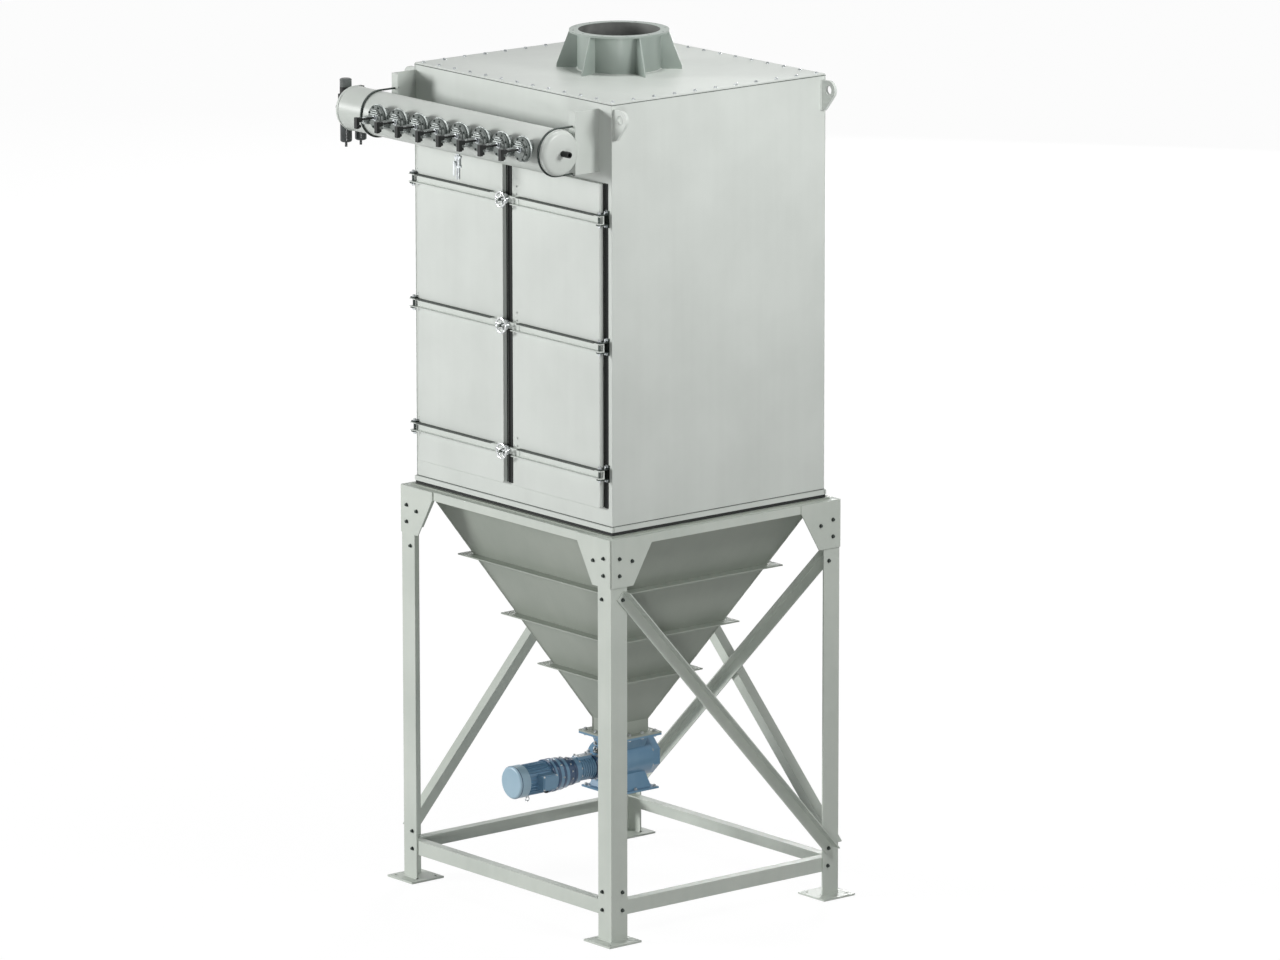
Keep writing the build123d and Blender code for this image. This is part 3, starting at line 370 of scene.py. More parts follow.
def block(middle, size):
    """A box at its size and place, open in edit mode."""
    deselect()
    bpy.ops.mesh.primitive_cube_add(size=1, location=middle)
    box = bpy.context.object
    box.scale = size
    start_edit()
    return box


def square_frame(x, y, low, high, sheet):
    """A thin upright band round the casing, with its outer faces at x and y."""
    band = block((0, 0, (low + high) / 2), (2 * x, 2 * y, high - low))
    pick("faces", lambda middle, normal: abs(normal.z) > 0.9)
    bpy.ops.mesh.inset(thickness=sheet, depth=0)
    bpy.ops.mesh.bridge_edge_loops()
    pick("edges", lambda middle, direction: abs(direction.z) > 0.9 and abs(middle.x) > x - sheet / 2)
    bpy.ops.mesh.bevel(offset=sheet * 0.4, segments=2)
    deselect()
    return band


def mottled(name, dark, light, roughness, speck_size, detail=2.0, relief=0.0, relief_height=0.0,
            metallic=0.0):
    """A material mottled in specks of a real size, which may also stand up a little."""
    skin, shader = new_material(name, roughness, metallic)
    place = add_node(skin, "ShaderNodeTexCoord").outputs["Object"]
    specks = add_node(skin, "ShaderNodeTexNoise", None, {"Scale": 1 / speck_size, "Detail": detail},
                      {"Vector": place}).outputs["Fac"]
    skin.node_tree.links.new(two_tone(skin, specks, dark, light), shader.inputs["Base Color"])
    if relief:
        bump = add_node(skin, "ShaderNodeBump", None, {"Strength": relief, "Distance": relief_height},
                        {"Height": specks})
        skin.node_tree.links.new(bump.outputs["Normal"], shader.inputs["Normal"])
    return skin


# Sponge rubber: dull black with fine open pores. The door seals are real rubber; the gap strips and the
# packing band use it partly as painted shade.
pore_size = 0.004
sponge_rubber_and_painted_shade, sponge_and_shade_shader = new_material("black_sponge_rubber_and_painted_shade", 0.85)
place = add_node(sponge_rubber_and_painted_shade, "ShaderNodeTexCoord").outputs["Object"]
pores = add_node(sponge_rubber_and_painted_shade, "ShaderNodeTexVoronoi", None, {"Scale": 1 / pore_size}, {"Vector": place})
sponge_rubber_and_painted_shade.node_tree.links.new(two_tone(sponge_rubber_and_painted_shade, pores.outputs["Distance"], "151716", "262927"),
                                  sponge_and_shade_shader.inputs["Base Color"])
bump = add_node(sponge_rubber_and_painted_shade, "ShaderNodeBump", None, {"Strength": 0.6, "Distance": 0.0008},
                {"Height": pores.outputs["Distance"]})
sponge_rubber_and_painted_shade.node_tree.links.new(bump.outputs["Normal"], sponge_and_shade_shader.inputs["Normal"])
# The packing's black band is partly painted shade: it also stands in for the shade under the casing's belt.
packing_and_shade_band = square_frame(mouth_x + flange_reach + packing_cover, mouth_y + flange_reach + packing_cover,
                       packing_low + hair, wall_low - hair, packing_cover - 0.0002)
finish(packing_and_shade_band, "flange_packing_and_painted_shade", sponge_rubber_and_painted_shade)
# Mastic: dark grey, half dull, smeared by the spatula.
dark_mastic = mottled("dark_grey_mastic", "4A504C", "626863", 0.6, 0.02)
belt_top = wall_low + belt_height
mastic = [square_frame(half_x + mastic_reach, half_y + mastic_reach, low, high, 0.0028)
          for low, high in ((belt_top + 0.0002, belt_top + mastic_height),
                            (roof_low[2] - 0.005, roof_low[2] - 0.0003))]
finish(join(mastic), "mastic_lines", dark_mastic)

# Roof bolts: the roof plate lies on its bed of mastic and is held down all round by small zinc-plated
# hexagon bolts at an even pitch.
roof_bolt_inset = 0.038
roof_bolt_pitch = 0.150
places = []
for run, off, runs_along_x in ((half_x, half_y, True), (half_y, half_x, False)):
    count = int(2 * (run - roof_bolt_inset) / roof_bolt_pitch)
    # The corner bolts belong to the front and back rows.
    first = 0 if runs_along_x else 1
    last = count if runs_along_x else count - 1
    for k in range(first, last + 1):
        along = -(run - roof_bolt_inset) + k * 2 * (run - roof_bolt_inset) / count
        for side in (-1, 1):
            edge = side * (off - roof_bolt_inset)
            places.append(((along, edge, roof_top) if runs_along_x else (edge, along, roof_top), (0, 0, 1)))
finish(set_copies(hex_bolt(0.016, 0.007, 0.002), places), "roof_bolts", zinc_plate)

# Outlet collar and lugs: both are welded on, the collar with a bead round its foot and each lug with a
# bead down both its sides. A dark sleeve inside the collar is painted shade, for the shade in its bore.
collar_low, collar_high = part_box("outlet_collar")
collar_radius = 0.255
collar_wall = 0.005
collar_bead_radius = 0.006
lining_fit = 0.0004
lining_sheet = 0.0008
lug_height = 0.186
lug_sheet = 0.020
lug_y = half_y - 0.020
lug_top = roof_top - 0.036
lug_bead_radius = 0.005


def ring(middle, radius, thickness, around, across, lie=upright):
    """A round ring at its size and place, open in edit mode."""
    deselect()
    bpy.ops.mesh.primitive_torus_add(major_segments=around, minor_segments=across, major_radius=radius,
                                     minor_radius=thickness, location=middle, rotation=lie)
    hoop = bpy.context.object
    start_edit()
    return hoop


collar_bead = ring((0, 0, roof_top), collar_radius, collar_bead_radius, 72, 8)
pick("faces", lambda middle, normal: normal.z < -0.2)
bpy.ops.transform.translate(value=(0, 0, collar_bead_radius / 2))
deselect()
bpy.ops.mesh.primitive_cylinder_add(vertices=96, radius=collar_radius - collar_wall - lining_fit,
                                    depth=collar_high[2] - collar_low[2] - 0.004, end_fill_type="NOTHING",
                                    location=(0, 0, (collar_low[2] + collar_high[2]) / 2))
lining = bpy.context.object
start_edit()
bpy.ops.mesh.select_all(action="SELECT")
bpy.ops.mesh.solidify(thickness=lining_sheet)
bpy.ops.mesh.normals_make_consistent(inside=False)
smooth(30)
# Painted shade: a dark grey, dull sleeve that stands in for the shade inside the collar's bore.
bore_shade_grey = mottled("dark_grey_painted_shade_in_the_outlet", "5C5E5C", "747673", 0.7, 0.12, 5.0, metallic=0.4)
finish(lining, "outlet_shade_sleeve", bore_shade_grey)
beads = [collar_bead]
for sx, sy in corners:
    for side in (-1, 1):
        y = sy * lug_y + side * lug_sheet / 2
        beads.append(bead((sx * half_x, y, lug_top - lug_height), (sx * half_x, y, lug_top), lug_bead_radius))
finish(join(beads), "roof_and_lug_welds", casing_enamel)

# Doors: two lift-off pans of folded sheet that press on a black sponge-rubber frame. They carry the same
# enamel as the casing. The rubber is the same as under the casing.
door_enamel = enamel("satin_grey_green_enamel_on_door_pans", "C8CDC8", "CFD4CF", 0.38, 0.0003)
dress(door_enamel, "door_left", "door_right", "clamp_bars_left", "clamp_bars_right")
dress(sponge_rubber_and_painted_shade, "door_seals")
door_low, door_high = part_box("door_right")

# Clamp hardware: each bar swings on a pin between two ears that are bolted to the front wall, and a
# handwheel of polished cast steel draws its tongue down. The ears and studs are blackened.
dress(black_steel, "hinge_brackets", "wheel_studs")
# Polished steel: bright, with a thin sharp gloss and a faint grain left by the polishing.
polished_steel = metal("polished_cast_steel", "C4C7C8", "E2E4E4", 0.16, 0.002, 0.0001)
wheel_names = ("handwheel_bottom", "handwheel_middle", "handwheel_top")
dress(polished_steel, *wheel_names)
bar_levels = [sum(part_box(name)[k][2] for k in (0, 1)) / 2 for name in wheel_names]
hinge_end_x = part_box("hinge_brackets")[1][0]
hinge_plate_sheet = 0.006
hinge_bolt_rise = 0.041
hinge_ear_rise = 0.0355
hinge_pin_stand = 0.0575
places = []
for sx in (-1, 1):
    for level in bar_levels:
        for end in (-1, 1):
            plate_bolt = (sx * (hinge_end_x - 0.022), front - hinge_plate_sheet,
                          level + end * hinge_bolt_rise)
            places.append((plate_bolt, (0, -1, 0)))
            pin_end = (sx * (hinge_end_x - 0.025), front - hinge_pin_stand, level + end * hinge_ear_rise)
            places.append((pin_end, (0, 0, end)))
finish(set_copies(hex_bolt(0.017, 0.010, 0.002), places), "hinge_nuts", zinc_plate)

# Bar edging: a dark strip lies along the upper flange of each clamp bar. It is painted shade, for the
# shaded trough under each bar's top edge.
bar_top_shade_grey = mottled("dark_grey_painted_shade_on_bar_tops", "3C413D", "4D534E", 0.7, 0.03, 4.0)
bar_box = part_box("clamp_bars_right")
bar_half_height = 0.026
edging_start = 0.125
edging_end = bar_box[1][0] - 0.058
edging_depth = 0.034
edging_height = 0.007
edging_y = bar_box[0][1] + 0.0155
edging = []
for sx in (-1, 1):
    for level in bar_levels:
        edging.append(block((sx * (edging_start + edging_end) / 2, edging_y, level + bar_half_height - hair),
                            (edging_end - edging_start, edging_depth, edging_height)))
        pick("edges", lambda middle, direction: abs(direction.x) > 0.9)
        bpy.ops.mesh.bevel(offset=0.0025, segments=3)
finish(join(edging), "bar_top_shade_strips", bar_top_shade_grey)

# Gap strips: black sponge-rubber strips on the front wall beside the doors, two on the post between them
# and four at each side between the hinge plates. They are painted shadow: they stand in for the shadow
# that each proud door casts on the wall at its right and for the deep shade in the gap between the doors;
# the strips at the left edge mirror those at the right.
strip_sheet = 0.004
strip_near_stud = 0.004
strip_near_door = 0.042
side_strip_start = door_high[0] + 0.001
side_strip_end = door_high[0] + 0.034
hinge_room = 0.054
side_stops = [door_low[2]]
for level in bar_levels:
    side_stops += [level - hinge_room, level + hinge_room]
side_stops.append(door_high[2])
strip_places = [(-strip_near_door, -strip_near_stud, door_low[2], door_high[2]),
                (strip_near_stud, strip_near_door, door_low[2], door_high[2])]
for k in range(0, len(side_stops), 2):
    strip_places.append((side_strip_start, side_strip_end, side_stops[k], side_stops[k + 1]))
    strip_places.append((-side_strip_end, -side_strip_start, side_stops[k], side_stops[k + 1]))
strips = []
for left, right, low, high in strip_places:
    strips.append(block(((left + right) / 2, front - strip_sheet / 2, (low + high) / 2),
                        (right - left, strip_sheet, high - low)))
    pick("edges", lambda middle, direction: abs(direction.z) > 0.9 and middle.y < front - strip_sheet / 2)
    bpy.ops.mesh.bevel(offset=0.0015, segments=2)
finish(join(strips), "gap_painted_shadow_strips", sponge_rubber_and_painted_shade)

# Door handles: a bent round bar above each clamp bar, welded to the right door beside the gap, to lift
# the pan off with. Each is sprayed with the door.
handle_x = door_low[0] + 0.045
handle_rise = 0.062
handle_radius = 0.024
handle_rod = 0.0055
deselect()
bpy.ops.mesh.primitive_circle_add(vertices=10, radius=handle_rod, fill_type="NOTHING",
                                  location=(0, 0, handle_radius), rotation=along_y)
handle = bpy.context.object
start_edit()
bpy.ops.mesh.select_all(action="SELECT")
bpy.ops.mesh.spin(steps=12, angle=math.pi, center=(0, 0, 0), axis=(1, 0, 0))
bpy.ops.mesh.select_all(action="SELECT")
bpy.ops.mesh.remove_doubles(threshold=0.00001)
bpy.ops.mesh.fill_holes(sides=0)
bpy.ops.mesh.select_all(action="SELECT")
bpy.ops.mesh.normals_make_consistent(inside=False)
smooth(50)
places = [((handle_x, door_low[1], level + handle_rise), (0, 0, 1)) for level in bar_levels]
finish(set_copies(handle, places), "door_handles", door_enamel)

# Header tank: a rolled tube with pressed ends, welded round and enamelled like the casing. Two angles on
# the front wall carry it, and a blackened U-bolt holds it down on each.
tank_enamel = enamel("satin_grey_green_enamel_on_the_tank", "BEC4BE", "C8CDC8", 0.33, 0.0003)
dress(tank_enamel, "header_tank", "tank_brackets")
dress(zinc_plate, "blow_pipes", "drain_valve", "drain_lever")
dress(black_steel, "u_bolts")
tank_low, tank_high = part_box("header_tank")
tank_y = (tank_low[1] + tank_high[1]) / 2
tank_z = (tank_low[2] + tank_high[2]) / 2
tank_radius = (tank_high[2] - tank_low[2]) / 2
end_seam_inset = 0.045
seam_radius = 0.004
seams = []
for x in (tank_low[0] + end_seam_inset, tank_high[0] - end_seam_inset):
    seams.append(ring((x, tank_y, tank_z), tank_radius, seam_radius, 72, 8, along_x))
    pick("faces", lambda middle, normal: (Vector((0, middle.y - tank_y, middle.z - tank_z)).dot(normal)) > 0
         and abs(normal.x) < 0.5)
    bpy.ops.mesh.bevel(offset=0.0006, segments=1)
    smooth(60)
finish(join(seams), "tank_end_welds", casing_enamel)
u_bolt_x = (-0.921, 0.799)
u_bolt_bend = tank_radius + 0.0063
bracket_face_y = front - 0.172
places = [((x, bracket_face_y, tank_z + end * u_bolt_bend), (0, 1, 0)) for x in u_bolt_x for end in (-1, 1)]
finish(set_copies(hex_bolt(0.019, 0.010, 0.003), places), "u_bolt_nuts", black_steel)

# Pulse valves: die-cast bodies with a clamped diaphragm and a ribbed cover, held by a ring of screws.
# The bodies are coated grey, so they look dull and slightly grainy.
# Casting skin is about 1 mm in grain, drawn at 5 mm so that it shows.
cast_grey = mottled("dark_coated_die_casting", "4A504D", "727A76", 0.5, 0.005, 3.0, 0.4, 0.0006)
dress(cast_grey, "pulse_valves")
valve_low, valve_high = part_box("pulse_valves")
valve_face = valve_low[1]
valve_z = (valve_low[2] + valve_high[2]) / 2
valve_pitch = 0.2
valve_x = [(k - 3.5) * valve_pitch for k in range(8)]
valve_row = [((x, 0, 0), (0, 0, 1)) for x in valve_x]
cover_screw_circle = 0.064
cover_screw_count = 8
places = []
for x in valve_x:
    for k in range(cover_screw_count):
        turn = math.radians(22.5 + k * 360 / cover_screw_count)
        places.append(((x + cover_screw_circle * math.cos(turn), valve_face + 0.004,
                        valve_z + cover_screw_circle * math.sin(turn)), (0, -1, 0)))
finish(set_copies(hex_bolt(0.010, 0.005, 0.001), places), "valve_cover_screws", black_steel)
# Cast aluminium of the rings, ribs and pilot heads: a pale, slightly grainy silver-grey.
cast_alloy = metal("tumbled_aluminium_casting", "868B89", "A6ABA9", 0.46, 0.003, 0.0004)
clamp_ring = round_bar((0, valve_face + 0.028, valve_z), 0.080, 0.011, 40, along_y)
pick("faces", lambda middle, normal: abs(normal.y) > 0.9)
bpy.ops.mesh.inset(thickness=0.006, depth=0.003)
finish(set_copies(clamp_ring, valve_row), "valve_clamp_rings", cast_alloy)
rib_depth = 0.010
rib_sheet = 0.006
ribs = []
for rise, half_length in ((0.018, 0.040), (0.031, 0.034), (0.044, 0.022)):
    ribs.append(block((0, valve_face - 0.004, valve_z + rise), (2 * half_length, rib_depth, rib_sheet)))
    pick("edges", lambda middle, direction: middle.y < valve_face - 0.005)
    bpy.ops.mesh.bevel(offset=0.002, segments=2)
finish(set_copies(join(ribs), valve_row), "valve_cover_ribs", cast_alloy)

# Pilot heads: small aluminium castings screwed to the side of each valve, which feed its pilot.
# They have a rounded block, a blind boss on the front and a short neck to the valve.
head_x = -0.096
head_y = valve_face + 0.020
head_z = valve_z - 0.030
head = block((head_x, head_y, head_z), (0.046, 0.050, 0.048))
pick("faces", lambda middle, normal: normal.y < -0.9)
bpy.ops.mesh.inset(thickness=0.006, depth=0)
bpy.ops.mesh.extrude_region_move(TRANSFORM_OT_translate={"value": (0, -0.008, 0)})
pick("edges", lambda middle, direction: abs(direction.y) > 0.9)
bpy.ops.mesh.bevel(offset=0.006, segments=3)
boss = round_bar((head_x, head_y - 0.038, head_z), 0.013, 0.012, 20, along_y)
pick("faces", lambda middle, normal: normal.y < -0.9)
bpy.ops.mesh.inset(thickness=0.003, depth=0)
bpy.ops.mesh.inset(thickness=0.002, depth=-0.004)
neck = round_bar((head_x + 0.030, head_y + 0.004, head_z), 0.011, 0.040, 16, along_x)
pick("faces", lambda middle, normal: abs(normal.x) > 0.9)
bpy.ops.mesh.bevel(offset=0.002, segments=2)
finish(set_copies(join([head, boss, neck]), valve_row), "pilot_heads", cast_alloy)

# Pilot solenoids: black glass-filled nylon coils, each held on its stem by a zinc-plated nut. The nylon
# is matt, with a fine moulded grain.
# The moulded grain is about 0.3 mm, drawn at 3 mm so that it shows.
black_nylon = mottled("moulded_black_glass_filled_nylon", "101211", "1D201F", 0.48, 0.003, 2.0, 0.35, 0.0003)
black_nylon.node_tree.nodes["Principled BSDF"].inputs["Specular IOR Level"].default_value = 0.25
dress(black_nylon, "solenoids", "air_unit", "air_socket")
stem_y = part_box("solenoids")[1][1] - 0.001
places = [((x, stem_y, valve_z), (0, -1, 0)) for x in valve_x]
finish(set_copies(hex_bolt(0.026, 0.010, 0.003), places), "pilot_stem_nuts", zinc_plate)

# Air treatment unit: a regulator with its gauge and a lubricator, both with smoke-grey polycarbonate
# bowls. The bowls are glossy and look almost black against the light.
smoke_bowl = mottled("smoke_grey_polycarbonate", "2B2F2F", "3D4242", 0.14, 0.03)
dress(smoke_bowl, "air_bowls")
knob_low, knob_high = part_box("regulator_knob")
unit_x = (knob_low[0] + knob_high[0]) / 2
unit_front_y = (knob_low[1] + knob_high[1]) / 2
unit_rear_y = unit_front_y + 0.113
unit_half = 0.037
unit_low_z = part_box("air_bowls")[1][2]
unit_high_z = unit_low_z + 0.145

# Gauge: a small pressure gauge with a black nylon case, a white dial and a black pointer, screwed into
# an aluminium plate on the regulator's front.
gauge_y = unit_front_y - unit_half
gauge_z = unit_low_z + 0.067
plate_sheet = 0.006
plate = block((unit_x, gauge_y - plate_sheet / 2, gauge_z), (0.050, plate_sheet, 0.062))
pick("edges", lambda middle, direction: abs(direction.y) > 0.9)
bpy.ops.mesh.bevel(offset=0.008, segments=4)
pick("edges", lambda middle, direction: middle.y < gauge_y - 0.005)
bpy.ops.mesh.bevel(offset=0.001, segments=2)
finish(plate, "gauge_plate", cast_alloy)
case = round_bar((unit_x, gauge_y - 0.016, gauge_z), 0.021, 0.020, 48, along_y)
pick("faces", lambda middle, normal: normal.y < -0.9)
bpy.ops.mesh.bevel(offset=0.0015, segments=2)
pick("faces", lambda middle, normal: normal.y < -0.99)
bpy.ops.mesh.inset(thickness=0.0025, depth=-0.003)
smooth(35)
finish(case, "gauge_case", black_nylon)
# Dial: white enamelled tin, flat and clean.
white_dial = mottled("white_enamelled_dial", "C9CBC8", "D9DBD8", 0.35, 0.006)
dial = round_bar((unit_x, gauge_y - 0.0232, gauge_z), 0.0175, 0.001, 48, along_y)
pick("faces", lambda middle, normal: normal.y < -0.9)
bpy.ops.mesh.inset(thickness=0.0025, depth=0)
bpy.ops.mesh.inset(thickness=0.0007, depth=0.0003)
finish(dial, "gauge_dial", white_dial)
mark_count = 9
mark_circle = 0.0135
first_mark = 225
mark_step = 33.75
gauge_marks = []
for k in range(mark_count):
    turn = math.radians(first_mark - k * mark_step)
    bpy.ops.mesh.primitive_cube_add(size=1, rotation=(0, -turn, 0),
                                    location=(unit_x + mark_circle * math.cos(turn), gauge_y - 0.0241,
                                              gauge_z + mark_circle * math.sin(turn)))
    mark = bpy.context.object
    mark.scale = (0.004, 0.0004, 0.0009)
    start_edit()
    pick("faces", lambda middle, normal: normal.y < -0.9)
    bpy.ops.mesh.inset(thickness=0.0001, depth=0)
    deselect()
    gauge_marks.append(mark)
bpy.ops.mesh.primitive_cone_add(vertices=12, radius1=0.0011, radius2=0.0003, depth=0.015,
                                rotation=(0, math.radians(-40), 0),
                                location=(unit_x - 0.003, gauge_y - 0.0244, gauge_z + 0.0036))
pointer = bpy.context.object
start_edit()
pick("faces", lambda middle, normal: abs(normal.z) > 0.6)
bpy.ops.mesh.bevel(offset=0.0002, segments=1)
finish(join(gauge_marks + [pointer]), "gauge_marks", black_nylon)

# Air unit fittings: a port block with its filler cap on the lubricator, clamp rings round both bowls and
# a cap on the knob. They are moulded in black nylon, the knob and its cap in grey.
bowl_radius = 0.0365
bowl_ring_fit = 0.0004
port = block((unit_x, unit_rear_y, unit_high_z + 0.014), (0.052, 0.052, 0.028))
pick("edges", lambda middle, direction: abs(direction.z) > 0.9)
bpy.ops.mesh.bevel(offset=0.010, segments=4)
pick("faces", lambda middle, normal: normal.z > 0.9)
bpy.ops.mesh.inset(thickness=0.008, depth=0)
bpy.ops.mesh.extrude_region_move(TRANSFORM_OT_translate={"value": (0, 0, 0.012)})
pick("edges", lambda middle, direction: middle.z > unit_high_z + 0.038)
bpy.ops.mesh.bevel(offset=0.003, segments=3)
fittings = [port]
for y in (unit_front_y, unit_rear_y):
    for drop in (0.008, 0.030):
        fittings.append(round_bar((unit_x, y, unit_low_z - drop), bowl_radius + bowl_ring_fit, 0.007, 40))
        pick("faces", lambda middle, normal: abs(normal.z) > 0.9)
        bpy.ops.mesh.inset(thickness=0.003, depth=0)
        pick("edges", lambda middle, direction: abs(direction.z) < 0.1
             and math.hypot(middle.x - unit_x, middle.y - y) > bowl_radius - 0.001)
        bpy.ops.mesh.bevel(offset=0.001, segments=2)
finish(join(fittings), "air_unit_fittings", black_nylon)
# Grey nylon: the knob and its cap, a little paler than the unit, with the same moulded grain.
grey_nylon = mottled("moulded_grey_nylon", "4C514F", "5C6260", 0.45, 0.003)
cap = round_bar((unit_x, unit_front_y, knob_high[2] + 0.002), bowl_radius - 0.004, 0.004, 48)
pick("faces", lambda middle, normal: normal.z > 0.9)
bpy.ops.mesh.bevel(offset=0.0015, segments=3)
pick("faces", lambda middle, normal: normal.z > 0.99)
bpy.ops.mesh.inset(thickness=0.012, depth=0)
bpy.ops.mesh.inset(thickness=0.002, depth=-0.001)
finish(cap, "knob_cap", grey_nylon, "regulator_knob")
dress(grey_nylon, "regulator_knob")


# Rotary valve and drive: castings bolted together and sprayed with glossy blue machine enamel. The
# lantern and motor carry the same coat and the fan cover a light one; the reducer is coloured navy as painted
# shade.
def add_gloss(paint):
    """A thin clear top coat, which gives the machine enamel its wet look."""
    shader = paint.node_tree.nodes["Principled BSDF"]
    shader.inputs["Coat Weight"].default_value = 0.3
    shader.inputs["Coat Roughness"].default_value = 0.15


drive_enamel = enamel("gloss_blue_machine_enamel", "5F86A3", "6F95B0", 0.3, 0.0004)
add_gloss(drive_enamel)
dress(drive_enamel, "valve_body", "valve_covers", "lantern", "motor")
# The fan cover is pressed from sheet and sprayed some shades lighter.
fan_enamel = enamel("light_blue_enamel_on_pressed_sheet", "90AFC1", "9DB9C9", 0.32, 0.0003)
dress(fan_enamel, "fan_cover")
# Machined steel: a plain grey, half bright, with a fine grain.
machined_steel = metal("machined_steel", "7E8182", "A2A5A6", 0.34, 0.003, 0.0002)
dress(machined_steel, "rotor")
valve_axis = 0.818
drive_axis = 0.800

# Outlet and cover bolts: zinc-plated heads round the valve's outlet flange and round both end covers.
# Eight hold each of them.
outlet_bolt_half = 0.150
outlet_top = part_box("valve_body")[0][2] + 0.012
end_plate = 0.158
cover_bolt_circle = 0.121
places = []
for i in (-1, 0, 1):
    for j in (-1, 0, 1):
        if i or j:
            places.append(((i * outlet_bolt_half, j * outlet_bolt_half, outlet_top), (0, 0, 1)))
for k in range(8):
    turn = math.radians(22.5 + 45 * k)
    for side in (-1, 1):
        places.append(((cover_bolt_circle * math.cos(turn), side * end_plate,
                        valve_axis + cover_bolt_circle * math.sin(turn)), (0, side, 0)))
finish(set_copies(hex_bolt(0.017, 0.009, 0.002), places), "rotary_valve_bolts", zinc_plate)


# Drive rings: the flanges between reducer, bell housing and motor are turned iron rings, drawn together
# by screws. Their navy is painted shade, for the deep shade on and between the flanges.
def drive_ring(radius, inner, front_y, back_y, edge):
    """A turned ring round the drive's axis between two places along it, with rounded edges."""
    turned = round_bar((0, (front_y + back_y) / 2, drive_axis), radius, back_y - front_y, 72, along_y)
    pick("edges", lambda middle, direction: abs(direction.y) < 0.1
         and math.hypot(middle.x, middle.z - drive_axis) > radius * 0.9)
    bpy.ops.mesh.bevel(offset=edge, segments=2)
    pick("faces", lambda middle, normal: abs(normal.y) > 0.99)
    bpy.ops.mesh.inset(thickness=radius - edge - inner, depth=0)
    bpy.ops.mesh.bridge_edge_loops()
    smooth(35)
    return turned


# Painted shade: navy blue stands in for the shade on and between the drive's flanges.
navy_painted_shade = enamel("gloss_navy_painted_shade_on_the_drive", "223F5E", "2E5072", 0.28, 0.0003)
add_gloss(navy_painted_shade)
dress(navy_painted_shade, "reducer")
rings = [drive_ring(0.1015, 0.094, -0.520, -0.498, 0.002), drive_ring(0.1045, 0.098, -0.566, -0.544, 0.002),
         drive_ring(0.1045, 0.099, -0.602, -0.584, 0.002), drive_ring(0.1028, 0.099, -0.851, -0.846, 0.001),
         drive_ring(0.0785, 0.070, -0.240, -0.226, 0.002), drive_ring(0.0875, 0.080, -0.420, -0.402, 0.002)]
finish(join(rings), "drive_rings", navy_painted_shade)
# Each circle of screws: place along the drive, radius, count, turn of the first, way the heads point.
screw_circles = ((-0.207, 0.074, 8, 22.5, -1), (-0.520, 0.098, 8, 0, -1), (-0.367, 0.0765, 10, 18, 1),
                 (-0.451, 0.088, 12, 15, 1), (-0.185, 0.074, 8, 22.5, 1))
places = []
for y, radius, count, first_turn, way in screw_circles:
    for k in range(count):
        turn = math.radians(first_turn + 360 * k / count)
        places.append(((radius * math.cos(turn), y, drive_axis + radius * math.sin(turn)), (0, way, 0)))
finish(set_copies(hex_bolt(0.011, 0.008, 0.0015), places), "drive_screws", zinc_plate)

# Inspection cover on the lantern: a thin zinc-plated plate with four screws. Two more screws of the same
# size sit on top of the drive behind it.
cover_y = -0.304
cover_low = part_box("lantern")[1][2]
cover_sheet = 0.003
cover = block((0, cover_y, cover_low + cover_sheet / 2), (0.052, 0.104, cover_sheet))
pick("edges", lambda middle, direction: abs(direction.z) > 0.9)
bpy.ops.mesh.bevel(offset=0.008, segments=4)
pick("edges", lambda middle, direction: middle.z > cover_low + 0.0025)
bpy.ops.mesh.bevel(offset=0.0008, segments=2)
finish(cover, "lantern_cover", zinc_plate)
places = [((sx * 0.019, cover_y + sy * 0.044, cover_low + cover_sheet), (0, 0, 1)) for sx, sy in corners]
places += [((0, -0.480, drive_axis + 0.0955), (0, 0, 1)), ((0, -0.430, drive_axis + 0.084), (0, 0, 1))]
finish(set_copies(hex_bolt(0.012, 0.007, 0.0015), places), "lantern_cover_screws", zinc_plate)

# Eye bolts: one forged eye on the front cover's top lifts the valve, one under the motor holds a safety
# rope. They are zinc plated.
eye_radius = 0.013
eye_rod = 0.004
eye_rise = 0.024
eyes = []
for y, foot, way in ((-0.196, drive_axis + 0.086, 1), (-0.736, drive_axis - 0.098, -1)):
    eyes.append(ring((0, y, foot + way * eye_rise), eye_radius, eye_rod, 28, 10, along_x))
    pick("faces", lambda middle, normal: (middle.z - foot) * way < 0.009)
    bpy.ops.transform.translate(value=(0, 0, -way * 0.002))
    bpy.ops.object.mode_set(mode="OBJECT")
    bpy.ops.object.shade_smooth()
    eyes.append(round_bar((0, y, foot + way * 0.004), 0.010, 0.010, 20))
    pick("edges", lambda middle, direction: abs(direction.z) < 0.1)
    bpy.ops.mesh.bevel(offset=0.0015, segments=2)
finish(join(eyes), "eye_bolts", zinc_plate)

# Grease block: a small blackened steel distributor screwed to the top of the front cover, with a raised
# seat on it for the grease line.
grease = block((0, -0.181, valve_axis + 0.068), (0.060, 0.022, 0.030))
pick("edges", lambda middle, direction: abs(direction.x) < 0.9)
bpy.ops.mesh.bevel(offset=0.003, segments=2)
pick("faces", lambda middle, normal: normal.z > 0.99)
bpy.ops.mesh.inset(thickness=0.006, depth=0)
bpy.ops.mesh.extrude_region_move(TRANSFORM_OT_translate={"value": (0, 0, 0.006)})
finish(grease, "grease_block", black_steel)

